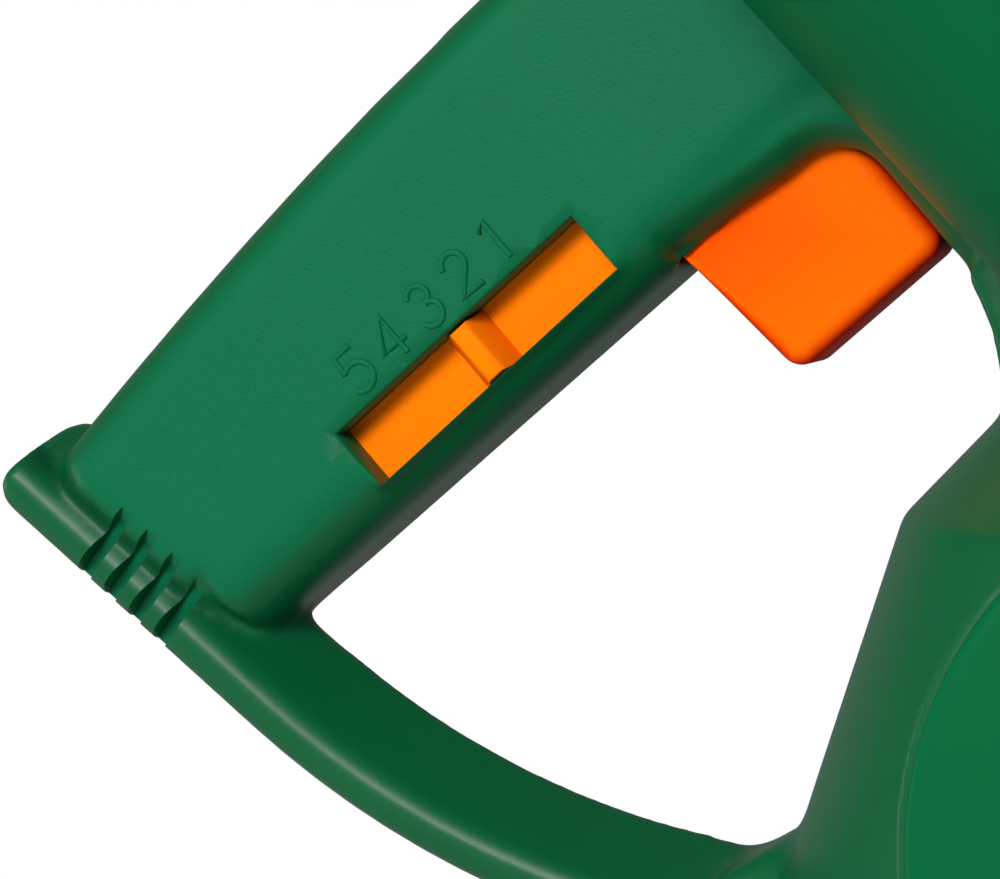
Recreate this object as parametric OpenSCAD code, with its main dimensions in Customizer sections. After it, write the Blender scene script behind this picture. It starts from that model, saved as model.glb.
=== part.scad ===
// Hand spreader: a hand-cranked broadcaster with a D-shaped rear handle.
// Units are millimetres, +Z is up and +X is the throwing side. Pieces are drawn
// about the spinner's axis, then set over the middle of the part's base.

/* [Nodes] */

/* [Body] */

// outer radius of the skirt round the spinner
skirt_r = 79; // [78:0.5:81]
// height at which the skirt starts to taper
skirt_h = 70; // [68:0.5:72]
// outer radius of the neck under the hopper
neck_r = 49.2; // [48.8:0.1:50]
// wall thickness of the moulded shells
wall = 2.5; // [2.2:0.1:2.8]

/* [Handle] */

// width of the handle across its side faces
grip_w = 32; // [30:0.5:36]
// depth of the handle at its reference point
grip_depth = 43.2; // [42:0.2:45]
// thickness of the lower bar, in the side view
bar_t = 14.6; // [14:0.2:17]
// width of the lower bar across its crest
bar_w = 29; // [27:0.5:31]

/* [Controls] */

// stroke of the trigger
trigger_travel = 14; // [10:0.5:14]
// width of the trigger
trigger_w = 15; // [13:0.5:16]
// spacing of the five rate settings
rate_pitch = 6.77; // [6:0.05:6.9]

/* [Hopper] */

// length of the hopper's mouth
hopper_len = 192.6; // [188:0.5:198]
// width of the hopper's mouth
hopper_w = 170; // [160:1:180]
// height of the hopper's rim above the ground
hopper_top = 268; // [250:1:280]

/* [Drive] */

// throw of the crank, from its shaft to the knob
crank_throw = 50; // [44:1:56]
// radius of the spinner plate
spinner_r = 66; // [60:1:70]

/* [Hidden] */

$fn = 64;
eps = 0.01;
far = 300;
run_gap = 0.3;

// The grip's reference point, its slope and how far each edge turns from it.
grip_x = -138.6;
grip_z = 144.9;
grip_slope = 43.7;
grip_turn = 2.7;
grip_low = 22.55;
top_arc = 700;
under_slope = grip_slope - grip_turn;
top_round = 6.5;
under_round = 9.5;
under_round_in = 4.5;

// The lower bar is an arc about an axis across the handle; its outer edge runs
// on as a straight band, tangent to the arc, up the rear end of the handle.
bar_x = -69.3;
bar_z = 191.3;
bar_out = 132.2;
bar_bead = 4;
bar_lap = 3.1;
rear_slope = 39.7;
band_len = 50.3;
band_round = 4;
step_in = 11;
step_round = 3;
end_w = 17;
end_in = 5;

// Slanted grooves across the rear band.
groove_n = 4;
groove_w = 2.3;
groove_pitch = 4.8;
groove_first = 33.7;
groove_deep = 8;
groove_shallow = 14;
groove_len = 13;

// Bell, shoulder, neck and the deck that carries the hopper.
cone_z = 121.5;
cone_r = neck_r + 13.3;
shoulder_z = 135.5;
deck_top = 146;
gate_z = 143;
deck_t = 2.5;
rim_h = 7;
mouth_h = 33;
mouth_half = 70;
ledge_z = 35.5;
ledge_w = 4.5;

// The round gear case on the right side.
crank_z = 88;
case_r = 49.1;
case_y = -skirt_r - 1;
case_wall = 3.2;
cover_r = case_r - 1.5;
cover_t = 2.5;
cover_round = 1;
cover_hub_r = 10;
cover_hub = 8;
cover_hub_in = 22;
cover_screw_len = 14;

// The hopper: its floor, its shoulder and its wall.
hop_wall = 2.4;
hop_floor_len = 75.2;
hop_floor_w = 112;
hop_floor_round = 30;
hop_round = 40;
hop_shoulder_z = 212;
hop_fit = 0.4;
rim_lip = 3;
rim_t = 4;
outlet = [21, 30, -4, 13];
chute = [14.5, 36.5, -6.5, 15.5];

// The web in front of the trigger: its two edges, their corner and its thin wall.
web_top = 0.6;
web_round = 7;
web_wall = 1.4;
web_lap = 10;
web_gap = 2;
web_high = 186;
web_rear = 59.3;
web_inset = 1;

// Trigger and gate link, in the frame of the handle's underside: x along it
// towards the hopper, z into the handle.
trig_rear = 40.4;
trig_shoulder = 4.9;
trig_tip = -21.4;
trig_top = 14;
trig_slope = 2;
trig_round = 3;
foot_x = 37;
foot_z = 2.9;
foot_h = 5;
link_gap = 0.16;
link_t = 1.5;
link_w = 7;
link_end = -65.5;
pin_drop = 62;
pin_r = 1.6;
pin_len = 14;
spring_r = 5;
spring_wire = 0.6;
spring_turns = 6;
spring_x = 55;
spring_top = 42;

// The rate slider's window in the right side face, and the slider itself.
win_x = -120;
win_z = 143;
win_slope = 42;
win_len = 45;
win_w = 9.4;
win_depth = 6;
win_wall = 1.6;
slide_t = 1.8;
slide_rear = 45.5 - 2 * rate_pitch;
slide_front = 50 - 2 * rate_pitch;
slide_low = 5;
slide_high = 6.5;
slide_gap = 0.2;
rest_t = 2;
rest_at = 18;
ridge_h = 5.4;
ridge_base = 6.6;
ridge_top = 2.6;

// Drive train.
gear_module = 1.6;
gear_n = 48;
pinion_n = 12;
gear_pitch_r = gear_module * gear_n / 2;
pinion_pitch_r = gear_module * pinion_n / 2;
tooth_add = 1.4;
tooth_ded = 1.9;
tooth_pitch = PI * gear_module;
tooth_mid = 0.38 * tooth_pitch;
tooth_lean = 0.34;
tooth_face = 6;
gear_t = 3.5;
shaft_r = 3;
axle_r = 4;
bush_wall = 2;
fit = 0.05;
bush_r = shaft_r + bush_wall;
axle_bush_r = axle_r + bush_wall;
shaft_low = 6;
shaft_high = 164;
arm_t = 7;
bush_flange = 2;
hub_end = case_y - cover_hub;
arm_y = hub_end - bush_flange - run_gap;
arm_lift = -90;
knob_r = 11;
knob_len = 30;
pin_stem = 3;
spin_z = 12;
spin_hub = [10, 26];
screw_r = 1.5;
screw_head_r = 3;
screw_head_t = 2.2;
screw_bite = 8;
boss_r = 4.6;
head_room = 0.2;

// Bosses for the floor, cover and hopper screws.
floor_boss = [45, 135, 225, 315];
floor_boss_r = skirt_r - wall - 5;
cover_boss = [45, 135, 225, 315];
cover_boss_r = cover_r - 5.5;
hopper_boss = [[-22, -34], [22, -34], [-22, 34], [22, 34]];

// Derived places.
bar_in = bar_out - bar_t;
bar_mid = (bar_out + bar_in) / 2;
bar_end = 270 - asin((skirt_r - bar_lap + bar_x) / bar_mid);
web_w = grip_w - 2 * web_inset;
funnel_lean = (hopper_len - hop_floor_len) / 2 / (hop_shoulder_z - deck_top);
gate_travel = trigger_travel * sin(under_slope);
under_mid = [grip_x + grip_low * sin(grip_slope), grip_z - grip_low * cos(grip_slope)];
link_x = min(hop_edge(web_high), hop_edge(deck_top)) - link_t - link_gap;
trig_front = link_x - trig_shoulder;
web_x = link_x - web_gap;
pin_at = [
    under_mid[0] + (link_x + link_t / 2) * cos(under_slope) + pin_drop * sin(under_slope),
    under_mid[1] + (link_x + link_t / 2) * sin(under_slope) - pin_drop * cos(under_slope)
];
knob_at = [crank_throw * cos(arm_lift), crank_z + crank_throw * sin(arm_lift)];
band_mid = [band_len - band_round, bar_out - band_round];
rear_x = bar_x - band_mid[0] * cos(rear_slope) - band_mid[1] * sin(rear_slope) - band_round;
front_x = hopper_len / 2 + rim_lip;
left_y = hopper_w / 2 + rim_lip;
right_y = arm_y - arm_t - 2 * run_gap - knob_len - 2;

// Bosses that the body screws hold: side view (x, z) and the y of each head's seat.
body_boss = [
    concat(on_grip(-35.6, 2.4), 10), concat(on_grip(31.2, 1.1), 10), concat(on_bar(246.4), 8),
    [17 - skirt_r, 45, 8], [skirt_r - 17, 45, 8], [cone_r - 7.5, cone_z - 3.5, 8]
];

// The hopper's rear wall in the side view, and how far along the underside it stands.
function rear_wall(z) = -(hop_floor_len / 2 + (z - deck_top) * funnel_lean);
function hop_edge(z) = (rear_wall(z) - hop_fit - under_mid[0]) * cos(under_slope)
    + (z - under_mid[1]) * sin(under_slope);

// Points in the side view: along and across the handle, and round the bar's middle.
function on_grip(x, z) = [
    grip_x + x * cos(grip_slope) - z * sin(grip_slope),
    grip_z + x * sin(grip_slope) + z * cos(grip_slope)
];
function on_bar(a) = [bar_x + bar_mid * cos(a), bar_z + bar_mid * sin(a)];

// Sets a piece drawn about the spinner's axis over the middle of the part's base.
module centred() {
    translate([-(rear_x + front_x) / 2, -(left_y + right_y) / 2, 0]) children();
}

// Turns a drawing of the side view (x, z) into a slab centred on the parting plane.
module slab(width) {
    rotate([90, 0, 0]) linear_extrude(width, center = true) children();
}

// Draws a section (y, z) along x, from start over a length.
module along(start, length) {
    translate([start, 0, 0]) rotate([90, 0, 90]) linear_extrude(length) children();
}

// A section with its two upper corners rounded and its top on the x axis.
module arch(w, h, r) {
    translate([-w / 2, -h]) square([w, h - r]);
    translate([-w / 2 + r, -h]) square([w - 2 * r, h]);
    for (s = [-1, 1]) translate([s * (w / 2 - r), -r]) circle(r);
}

module rounded(len, w, r) {
    square([len - 2 * r, w], center = true);
    square([len, w - 2 * r], center = true);
    for (x = [-1, 1], y = [-1, 1]) translate([x * (len / 2 - r), y * (w / 2 - r)]) circle(r);
}

module rod(p, r, y0, y1) {
    translate([p[0], y1, p[1]]) rotate([90, 0, 0]) cylinder(r = r, h = y1 - y0);
}

// Frames on the handle: its upper edge, its underside and its rear band.
module at_grip() {
    translate([grip_x, 0, grip_z]) rotate([0, -grip_slope, 0]) children();
}

module at_top() {
    at_grip() translate([0, 0, grip_depth - grip_low]) rotate([0, -grip_turn, 0]) children();
}

module at_under() {
    at_grip() translate([0, 0, -grip_low]) rotate([0, grip_turn, 0]) children();
}

module at_band() {
    translate([bar_x, 0, bar_z]) rotate([0, rear_slope, 0]) translate([0, 0, -bar_out]) children();
}

// The handle's upper side: a long arc, with both edges rounded.
module top_form(w, r, t) {
    span = 16;
    at_top() translate([0, 0, -top_arc]) rotate([90, 0, 0]) rotate([0, 0, 90 - span / 2])
        rotate_extrude(angle = span, $fn = 360) translate([top_arc - t, 0]) rotate(-90)
            arch(w - 2 * t, 120, r - t);
}

// The handle's block: rounded along its upper edge, its underside and its rear
// step, drawn inset by t for the hollow inside.
module grip_block(w, rear, top_r, low_r, rear_r, t) {
    intersection() {
        top_form(w, top_r, t);
        at_under() translate([0, 0, t]) mirror([0, 0, 1]) along(-90, 190) arch(w - 2 * t, 120, low_r - t);
        at_band() translate([0, 0, rear + t]) mirror([0, 0, 1]) along(-120, 190)
            arch(w - 2 * t, 190, max(rear_r - t, 1));
    }
}

// The bar's section, inset by t: a bead along each outer edge, and flanks that
// rise from the beads to a ridge on the parting plane.
module bar_section(t) {
    bead = bar_bead - t;
    tangent = 150;
    mid = [bar_t / 2 - bar_bead, bar_w / 2 - bar_bead];
    side = [for (a = [0 : 15 : tangent]) [mid[0] + bead * cos(a), mid[1] + bead * sin(a)]];
    polygon(concat(
        [[-bar_t / 2 + t, 0]],
        [for (i = [len(side) - 1 : -1 : 0]) [side[i][0], -side[i][1]]],
        side
    ));
}

module bar_arc(inset, first, last) {
    translate([bar_x, 0, bar_z]) rotate([90, 0, 0]) rotate([0, 0, first]) rotate_extrude(angle = last - first)
        translate([bar_mid, 0]) bar_section(inset);
}

module band() {
    intersection() {
        at_band() translate([0, 0, bar_t / 2]) along(-band_len, band_len)
            rotate(-90) bar_section(0);
        at_band() translate([-band_len / 2, 0, bar_t / 2]) slab(2 * bar_w) {
            translate([band_round, 0]) square([band_len, bar_t + 1], center = true);
            rounded(band_len, bar_t, band_round);
        }
    }
}

// Four slanted grooves across the band, on both sides.
module grooves() {
    for (i = [0 : groove_n - 1], s = [-1, 1])
        at_band() along(-groove_first + i * groove_pitch, groove_w)
            polygon([
                [s * groove_deep, -1],
                [s * groove_shallow, groove_len],
                [s * bar_w, groove_len],
                [s * bar_w, -1]
            ]);
}

// Side view of the web that joins the handle to the neck, in front of the D.
module web_side(t) {
    finger = [60, 140];
    difference() {
        polygon([
            on_grip(web_rear, -24.1), on_grip(web_rear, 0.3), [rear_wall(web_high) + web_lap, web_high],
            [rear_wall(deck_top) + web_lap, deck_top], [rear_wall(deck_top) + web_lap, 132],
            [-neck_r - 0.4, 132]
        ]);
        translate(under_mid) rotate(under_slope)
            translate([web_x + t - finger[0] / 2, web_top + t - finger[1] / 2])
                rounded(finger[0], finger[1], web_round + t);
    }
}

// Everything on the hopper's side of its rear wall, with a little room.
module hopper_room() {
    slab(far) polygon([
        [rear_wall(deck_top) - hop_fit, deck_top],
        [-hopper_len / 2 - hop_fit, hop_shoulder_z],
        [-hopper_len / 2 - hop_fit, far],
        [far, far],
        [far, deck_top]
    ]);
}

module bell_outer() {
    rotate_extrude() polygon([
        [0, 0], [skirt_r, 0], [skirt_r, skirt_h], [cone_r, cone_z],
        [neck_r, shoulder_z], [neck_r, deck_top], [0, deck_top]
    ]);
}

module bell_inner() {
    rotate_extrude() polygon([
        [0, -1], [skirt_r - wall, -1], [skirt_r - wall, skirt_h - 0.4], [cone_r - wall, cone_z - 1.4],
        [neck_r - wall, shoulder_z - 1.4], [neck_r - wall, gate_z - deck_t], [0, gate_z - deck_t]
    ]);
}

// The deck's openings: the gate's track, the chute, the shaft and the link.
module deck_openings() {
    track_w = 41;
    intersection() {
        translate([0, 0, gate_z + 5]) cube([far, track_w, 10], center = true);
        cylinder(r = neck_r - wall, h = far);
    }
    translate([16, -5, gate_z - 10]) cube([19, 19, 20]);
    translate([0, 0, gate_z - 10]) cylinder(r = shaft_r + 2, h = 20);
    translate([-neck_r + wall, -9, gate_z - 10]) cube([26, 18, 20]);
    for (p = hopper_boss) translate([p[0], p[1], gate_z - 10]) cylinder(r = screw_r + fit, h = 20);
}

// The throwing mouth across the front of the skirt.
module mouth() {
    reach = 2 * skirt_r;
    translate([0, 0, rim_h]) linear_extrude(mouth_h - rim_h) polygon([
        [0, 0],
        [reach * cos(mouth_half), -reach * sin(mouth_half)], [reach, -reach],
        [reach, reach], [reach * cos(mouth_half), reach * sin(mouth_half)]
    ]);
}

module floor_ledge() {
    rotate_extrude() polygon([
        [skirt_r - wall - ledge_w, ledge_z], [skirt_r - wall + 0.5, ledge_z],
        [skirt_r - wall + 0.5, ledge_z + 2 * ledge_w], [skirt_r - wall - 0.4, ledge_z + ledge_w + 1]
    ]);
    for (a = floor_boss) rotate([0, 0, a]) translate([floor_boss_r, 0, ledge_z + 1])
        cylinder(r = boss_r, h = 11);
}

// The drum of the gear case, standing out of the bell on the right.
module case_drum(r, y0) {
    rod([0, crank_z], r, case_y, y0);
}

module window_cut(grow, y0, y1) {
    translate([win_x, 0, win_z]) rotate([0, -win_slope, 0])
        translate([-win_len / 2 - grow, y0, -win_w / 2 - grow])
            cube([win_len + 2 * grow, y1 - y0, win_w + 2 * grow]);
}

// The whole body, both halves together.
module body_solid() {
    difference() {
        union() {
            difference() {
                union() {
                    grip_block(grip_w, step_in, top_round, under_round, step_round, 0);
                    grip_block(end_w, end_in, 4, 5, 2, 0);
                    slab(web_w) web_side(0);
                }
                hopper_room();
            }
            band();
            bar_arc(0, 270 - rear_slope, bar_end);
            bell_outer();
            case_drum(case_r, -30);
        }
        difference() {
            grip_block(grip_w, step_in, top_round, under_round_in + wall, step_round, wall);
            for (p = body_boss) rod(p, boss_r, -far, far);
            window_cut(win_wall, -grip_w / 2, -grip_w / 2 + win_depth);
            spring_seat();
        }
        slab(web_w - 2 * wall) intersection() {
            web_side(web_wall);
            translate([-far, deck_top - 4]) square([2 * far, far]);
        }
        difference() {
            bar_arc(wall, 270 - rear_slope + 4, bar_end + 3);
            for (p = body_boss) rod(p, boss_r, -far, far);
        }
        difference() {
            bell_inner();
            floor_ledge();
            for (i = [3 : 5]) rod(body_boss[i], boss_r, -far, far);
        }
        case_drum(case_r - case_wall, -20);
        deck_openings();
        grooves();
        mouth();
        trigger_slot();
        window_cut(0, -far, -4);
        translate([0, 0, ledge_z - 10]) for (a = floor_boss) rotate([0, 0, a]) translate([floor_boss_r, 0, 0])
            cylinder(r = screw_r + fit, h = 20);
        for (p = body_boss) {
            rod(p, screw_r + fit, -screw_bite, far);
            rod(p, screw_head_r + head_room, p[2], far);
        }
    }
    case_posts();
}

// A round seat for the trigger's spring under the handle's upper wall.
module spring_seat() {
    at_under() translate([spring_x, 0, spring_top]) cylinder(r = spring_r + 2, h = 30);
}

// Screw posts inside the gear case, under the cover.
module case_posts() {
    difference() {
        intersection() {
            for (a = cover_boss) rod(cover_post(a), boss_r, case_y, -40);
            rod([0, crank_z], case_r - 1, -far, -20);
        }
        for (a = cover_boss) rod(cover_post(a), screw_r + fit, -far, case_y + cover_screw_len);
    }
}

function cover_post(a) = [cover_boss_r * cos(a), crank_z + cover_boss_r * sin(a)];

module trigger_slot() {
    room = trigger_w + 1;
    at_under() translate([trig_rear - 0.8, -room / 2, -30]) cube([trig_front - trig_rear + 1.2, room, 40]);
}

module half(side) {
    intersection() {
        body_solid();
        translate([-far, side > 0 ? 0 : -far, -1]) cube([2 * far, far, 2 * far]);
    }
}

module at_window() {
    translate([win_x, 0, win_z]) rotate([0, -win_slope, 0]) children();
}

// Two blades that back the rate slider, standing on the left wall.
module slider_rests() {
    back = -grip_w / 2 + win_depth + 2 * slide_gap + slide_t;
    for (x = [-rest_at, rest_at])
        at_window() translate([x - rest_t / 2, back, -win_w / 2])
            cube([rest_t, grip_w / 2 - wall + 0.5 - back, win_w]);
}

module right_shell() {
    color("green") half(-1);
}

module left_shell() {
    color("green") union() {
        half(1);
        slider_rests();
    }
}

// The open bin, drawn inset by t for its inside.
module bin(t, low, high) {
    hull() {
        translate([0, 0, low]) linear_extrude(eps)
            rounded(hop_floor_len - 2 * t, hop_floor_w - 2 * t, hop_floor_round - t);
        translate([0, 0, hop_shoulder_z]) linear_extrude(high - hop_shoulder_z)
            rounded(hopper_len - 2 * t, hopper_w - 2 * t, hop_round - t);
    }
}

module hopper() {
    boss_h = 10;
    color("green") difference() {
        union() {
            difference() {
                bin(0, deck_top, hopper_top, $fn = 48);
                bin(hop_wall, deck_top + hop_wall, hopper_top + 1, $fn = 48);
            }
            translate([0, 0, hopper_top - rim_t]) linear_extrude(rim_t) difference() {
                rounded(hopper_len + 2 * rim_lip, hopper_w + 2 * rim_lip, hop_round + rim_lip);
                rounded(hopper_len - hop_wall, hopper_w - hop_wall, hop_round - hop_wall / 2);
            }
            translate([0, 0, deck_top]) cylinder(r = bush_r + wall, h = boss_h);
            for (p = hopper_boss) translate([p[0], p[1], deck_top]) cylinder(r = boss_r, h = boss_h);
        }
        translate([outlet[0], outlet[2], deck_top - 1])
            cube([outlet[1] - outlet[0], outlet[3] - outlet[2], 5]);
        translate([0, 0, deck_top - 1]) cylinder(r = bush_r, h = boss_h + 2);
        for (p = hopper_boss) translate([p[0], p[1], deck_top - 1])
            cylinder(r = screw_r + fit, h = screw_bite + 1);
    }
}

// Round cover with a long hub for the crank's bush and stiffening ribs inside.
module gear_cover() {
    rib_h = 6;
    color("green") difference() {
        union() {
            translate([0, case_y, crank_z]) rotate([90, 0, 0]) rotate_extrude() difference() {
                square([cover_r, cover_t]);
                translate([cover_r - cover_round, cover_t - cover_round]) difference() {
                    square(2 * cover_round);
                    circle(cover_round);
                }
            }
            rod([0, crank_z], cover_hub_r, hub_end, case_y + cover_hub_in);
            for (a = [0 : 60 : 179])
                translate([0, case_y, crank_z]) rotate([0, a, 0])
                    translate([-cover_r * 0.7, 0, -1]) cube([cover_r * 1.4, rib_h, 2]);
        }
        rod([0, crank_z], axle_bush_r, -far, 0);
        for (a = cover_boss) rod(cover_post(a), screw_r + fit, -far, 0);
    }
}

// Floor of the gear case, seated against the ledge inside the bell.
module gear_floor() {
    t = 2.5;
    boss_h = 7;
    color("darkgreen") difference() {
        union() {
            translate([0, 0, ledge_z - t]) cylinder(r = skirt_r - wall - run_gap, h = t);
            translate([0, 0, ledge_z - t]) cylinder(r = bush_r + wall, h = t + boss_h);
        }
        translate([0, 0, ledge_z - t - 1]) cylinder(r = bush_r, h = far);
        translate([chute[0], chute[2], ledge_z - t - 1])
            cube([chute[1] - chute[0], chute[3] - chute[2], far]);
        for (a = floor_boss) rotate([0, 0, a]) translate([floor_boss_r, 0, 0])
            cylinder(r = screw_r + fit, h = far);
    }
}

// Square tube that takes the grain past the gears, with a flange on the floor.
module drop_chute() {
    t = 1.5;
    flange = 2.5;
    low = ledge_z - 2.5;
    w = chute[1] - chute[0];
    d = chute[3] - chute[2];
    color("darkgreen") difference() {
        union() {
            translate([chute[0], chute[2], low]) cube([w, d, gate_z - deck_t - low]);
            translate([chute[0] - flange, chute[2] - flange, ledge_z])
                cube([w + 2 * flange, d + 2 * flange, 2]);
        }
        translate([chute[0] + t, chute[2] + t, low - 1]) cube([w - 2 * t, d - 2 * t, far]);
    }
}

// Squeeze block with rounded finger edges, a rear foot and a front shoulder.
module trigger() {
    color("orange") at_under() intersection() {
        slab(trigger_w) {
            polygon([
                [trig_rear, trig_top], [trig_rear, 0], [trig_rear + trig_slope, trig_tip + trig_round],
                [trig_rear + trig_slope + trig_round, trig_tip], [trig_front - trig_round, trig_tip],
                [trig_front, trig_tip + trig_round], [trig_front, foot_z],
                [link_x, foot_z], [link_x, trig_top]
            ]);
            translate([foot_x, foot_z]) square([trig_rear - foot_x + 1, foot_h]);
        }
        translate([0, 0, trig_tip]) mirror([0, 0, 1]) along(0, 100) arch(trigger_w, 60, trig_round);
    }
}

// Steel strap from the trigger down to the gate, with a cross pin at its end.
module gate_link() {
    color("silver") union() {
        at_under() translate([link_x, -link_w / 2, link_end]) cube([link_t, link_w, trig_top - 2 - link_end]);
        translate([pin_at[0], pin_len / 2, pin_at[1]]) rotate([90, 0, 0]) cylinder(r = pin_r, h = pin_len);
    }
}

// Compression spring as one tube along a helix.
module trigger_spring() {
    sides = 6;
    per_turn = 12;
    rings = spring_turns * per_turn;
    rise = (spring_top - trig_top - 2 * spring_wire) / rings;
    points = [for (i = [0 : rings], k = [0 : sides - 1])
        let (a = 360 * i / per_turn, b = 360 * k / sides, r = spring_r + spring_wire * cos(b))
        [r * cos(a), r * sin(a), i * rise + spring_wire * sin(b)]];
    walls = [for (i = [0 : rings - 1], k = [0 : sides - 1])
        let (n = (k + 1) % sides)
        [i * sides + k, (i + 1) * sides + k, (i + 1) * sides + n, i * sides + n]];
    ends = [[for (k = [0 : sides - 1]) k], [for (k = [sides - 1 : -1 : 0]) rings * sides + k]];
    color("silver") at_under() translate([spring_x, 0, trig_top + spring_wire])
        polyhedron(points, concat(walls, ends), convexity = 10);
}

// Slide with a finger ridge that stands in the window.
module rate_slider() {
    face = -grip_w / 2 + win_depth + slide_gap;
    color("orange") at_window() union() {
        translate([-slide_rear, face, -slide_low])
            cube([slide_rear + slide_front, slide_t, slide_low + slide_high]);
        translate([0, 0, -win_w / 2 + 0.4]) linear_extrude(win_w - 0.8) polygon([
            [-ridge_base / 2, face + 0.5], [ridge_base / 2, face + 0.5], [ridge_base / 2, face],
            [ridge_top / 2, face - ridge_h], [-ridge_top / 2, face - ridge_h], [-ridge_base / 2, face]
        ]);
    }
}

// Slotted plate under the hopper's floor, with a fork for the link's pin.
module flow_gate() {
    low = gate_z + slide_gap;
    t = 2.2;
    half_w = 20.1;
    front = 43;
    rear = -34;
    notch = [pin_at[0] - 0.1, 4.6];
    fork_y = 4.3;
    fork_t = 2.3;
    fork_x = 4.2;
    slot_w = 2 * pin_r + 0.4;
    rise = trigger_travel * cos(under_slope);
    color("silver") difference() {
        union() {
            translate([0, 0, low]) linear_extrude(t) intersection() {
                translate([rear, -half_w]) square([front - rear, 2 * half_w]);
                circle(neck_r - wall - 1);
                translate([gate_travel, 0]) circle(neck_r - wall - 1);
            }
            for (s = [-1, 1]) translate([pin_at[0], s * (fork_y + fork_t / 2), 0])
                translate([-fork_x, -fork_t / 2, pin_at[1] - fork_x])
                    cube([2 * fork_x, fork_t, low - pin_at[1] + fork_x + 0.5]);
        }
        translate([rear - 1, -notch[1], low - 1]) cube([notch[0] - rear + 1, 2 * notch[1], 5]);
        translate([outlet[0] + gate_travel, outlet[2], low - 1])
            cube([outlet[1] - outlet[0], outlet[3] - outlet[2], 5]);
        translate([-shaft_r - 1, -shaft_r - 1, low - 1])
            cube([gate_travel + 2 * shaft_r + 2, 2 * shaft_r + 2, 5]);
        translate([pin_at[0] - slot_w / 2, -20, pin_at[1] - slot_w / 2]) cube([slot_w, 40, rise + slot_w]);
    }
}

// Section of one tooth: half thickness against height over the pitch line.
function tooth_half(h) = tooth_mid / 2 - h * tooth_lean;

module crank_gear() {
    root = pinion_pitch_r + tooth_ded;
    tip = pinion_pitch_r - tooth_add;
    hub_r = 7.5;
    color("white") translate([0, 0, crank_z]) rotate([90, 0, 0]) difference() {
        union() {
            translate([0, 0, root]) cylinder(r = gear_pitch_r + tooth_face / 2 + 1, h = gear_t);
            translate([0, 0, root]) cylinder(r = hub_r, h = -case_y - cover_hub_in - run_gap - root);
            for (i = [0 : gear_n - 1]) rotate([0, 0, i * 360 / gear_n])
                along(gear_pitch_r - tooth_face / 2, tooth_face) polygon([
                    [-tooth_half(-tooth_ded), root + 0.5], [tooth_half(-tooth_ded), root + 0.5],
                    [tooth_half(-tooth_ded), root], [tooth_half(tooth_add), tip],
                    [-tooth_half(tooth_add), tip], [-tooth_half(-tooth_ded), root]
                ]);
        }
        cylinder(r = axle_r, h = far);
    }
}

module pinion() {
    root = pinion_pitch_r - tooth_ded;
    tip = pinion_pitch_r + tooth_add;
    face = 8;
    hub = 6;
    color("white") translate([0, 0, crank_z - gear_pitch_r - face / 2]) difference() {
        union() {
            linear_extrude(face) union() {
                circle(root + 0.1);
                for (i = [0 : pinion_n - 1]) rotate((i + 0.5) * 360 / pinion_n) polygon([
                    [root - 1, -tooth_half(-tooth_ded)], [tip, -tooth_half(tooth_add)],
                    [tip, tooth_half(tooth_add)], [root - 1, tooth_half(-tooth_ded)]
                ]);
            }
            cylinder(r = hub, h = face + hub);
        }
        translate([0, 0, -1]) cylinder(r = shaft_r, h = far);
    }
}

module crank_shaft() {
    color("silver") difference() {
        rod([0, crank_z], axle_r, arm_y - arm_t, -pinion_pitch_r - tooth_ded);
        rod([0, crank_z], screw_r + fit, -far, arm_y - arm_t + screw_bite);
    }
}

module crank_bush() {
    color("white") difference() {
        union() {
            rod([0, crank_z], axle_bush_r, hub_end, case_y + cover_hub_in);
            rod([0, crank_z], axle_bush_r + 2, hub_end - bush_flange, hub_end);
        }
        rod([0, crank_z], axle_r + fit, -far, 0);
    }
}

// Tapered arm between two round eyes.
module crank_arm() {
    hub_r = 10;
    eye_r = 7.5;
    color("green") difference() {
        translate([0, arm_y, crank_z]) rotate([0, -arm_lift, 0]) rotate([90, 0, 0]) linear_extrude(arm_t) {
            circle(hub_r);
            translate([crank_throw, 0]) circle(eye_r);
            polygon([[0, -hub_r + 1], [crank_throw, -eye_r + 1], [crank_throw, eye_r - 1], [0, hub_r - 1]]);
        }
        rod([0, crank_z], axle_r, -far, 0);
        rod(knob_at, pin_stem, -far, 0);
    }
}

module crank_screw() {
    face = arm_y - arm_t;
    head = 2.6;
    color("silver") union() {
        rod([0, crank_z], axle_r + 1.5, face - head, face);
        rod([0, crank_z], screw_r, face - 0.5, face + screw_bite);
    }
}

// Barrel-shaped knob, turned about its pin.
module crank_knob() {
    steps = 12;
    start = arm_t + run_gap;
    bulge = 2.5;
    bore = pin_stem + 2 * fit;
    shoulder = knob_r - bulge - 1.5;
    barrel = [for (i = [0 : steps])
        [knob_r - bulge + bulge * sin(180 * i / steps), start + 1 + (knob_len - 2) * i / steps]];
    color("orange") translate([knob_at[0], arm_y, knob_at[1]]) rotate([90, 0, 0])
        rotate_extrude() polygon(concat(
            [[bore, start], [shoulder, start]],
            barrel,
            [[shoulder, start + knob_len], [bore, start + knob_len]]
        ));
}

module knob_pin() {
    outer = arm_t + 2 * run_gap + knob_len;
    color("silver") union() {
        rod(knob_at, pin_stem, arm_y - outer - 1, arm_y);
        rod(knob_at, pin_stem + 2, arm_y - outer - 2, arm_y - outer);
    }
}

module spinner_shaft() {
    color("silver") translate([0, 0, shaft_low]) cylinder(r = shaft_r, h = shaft_high - shaft_low);
}

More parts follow.
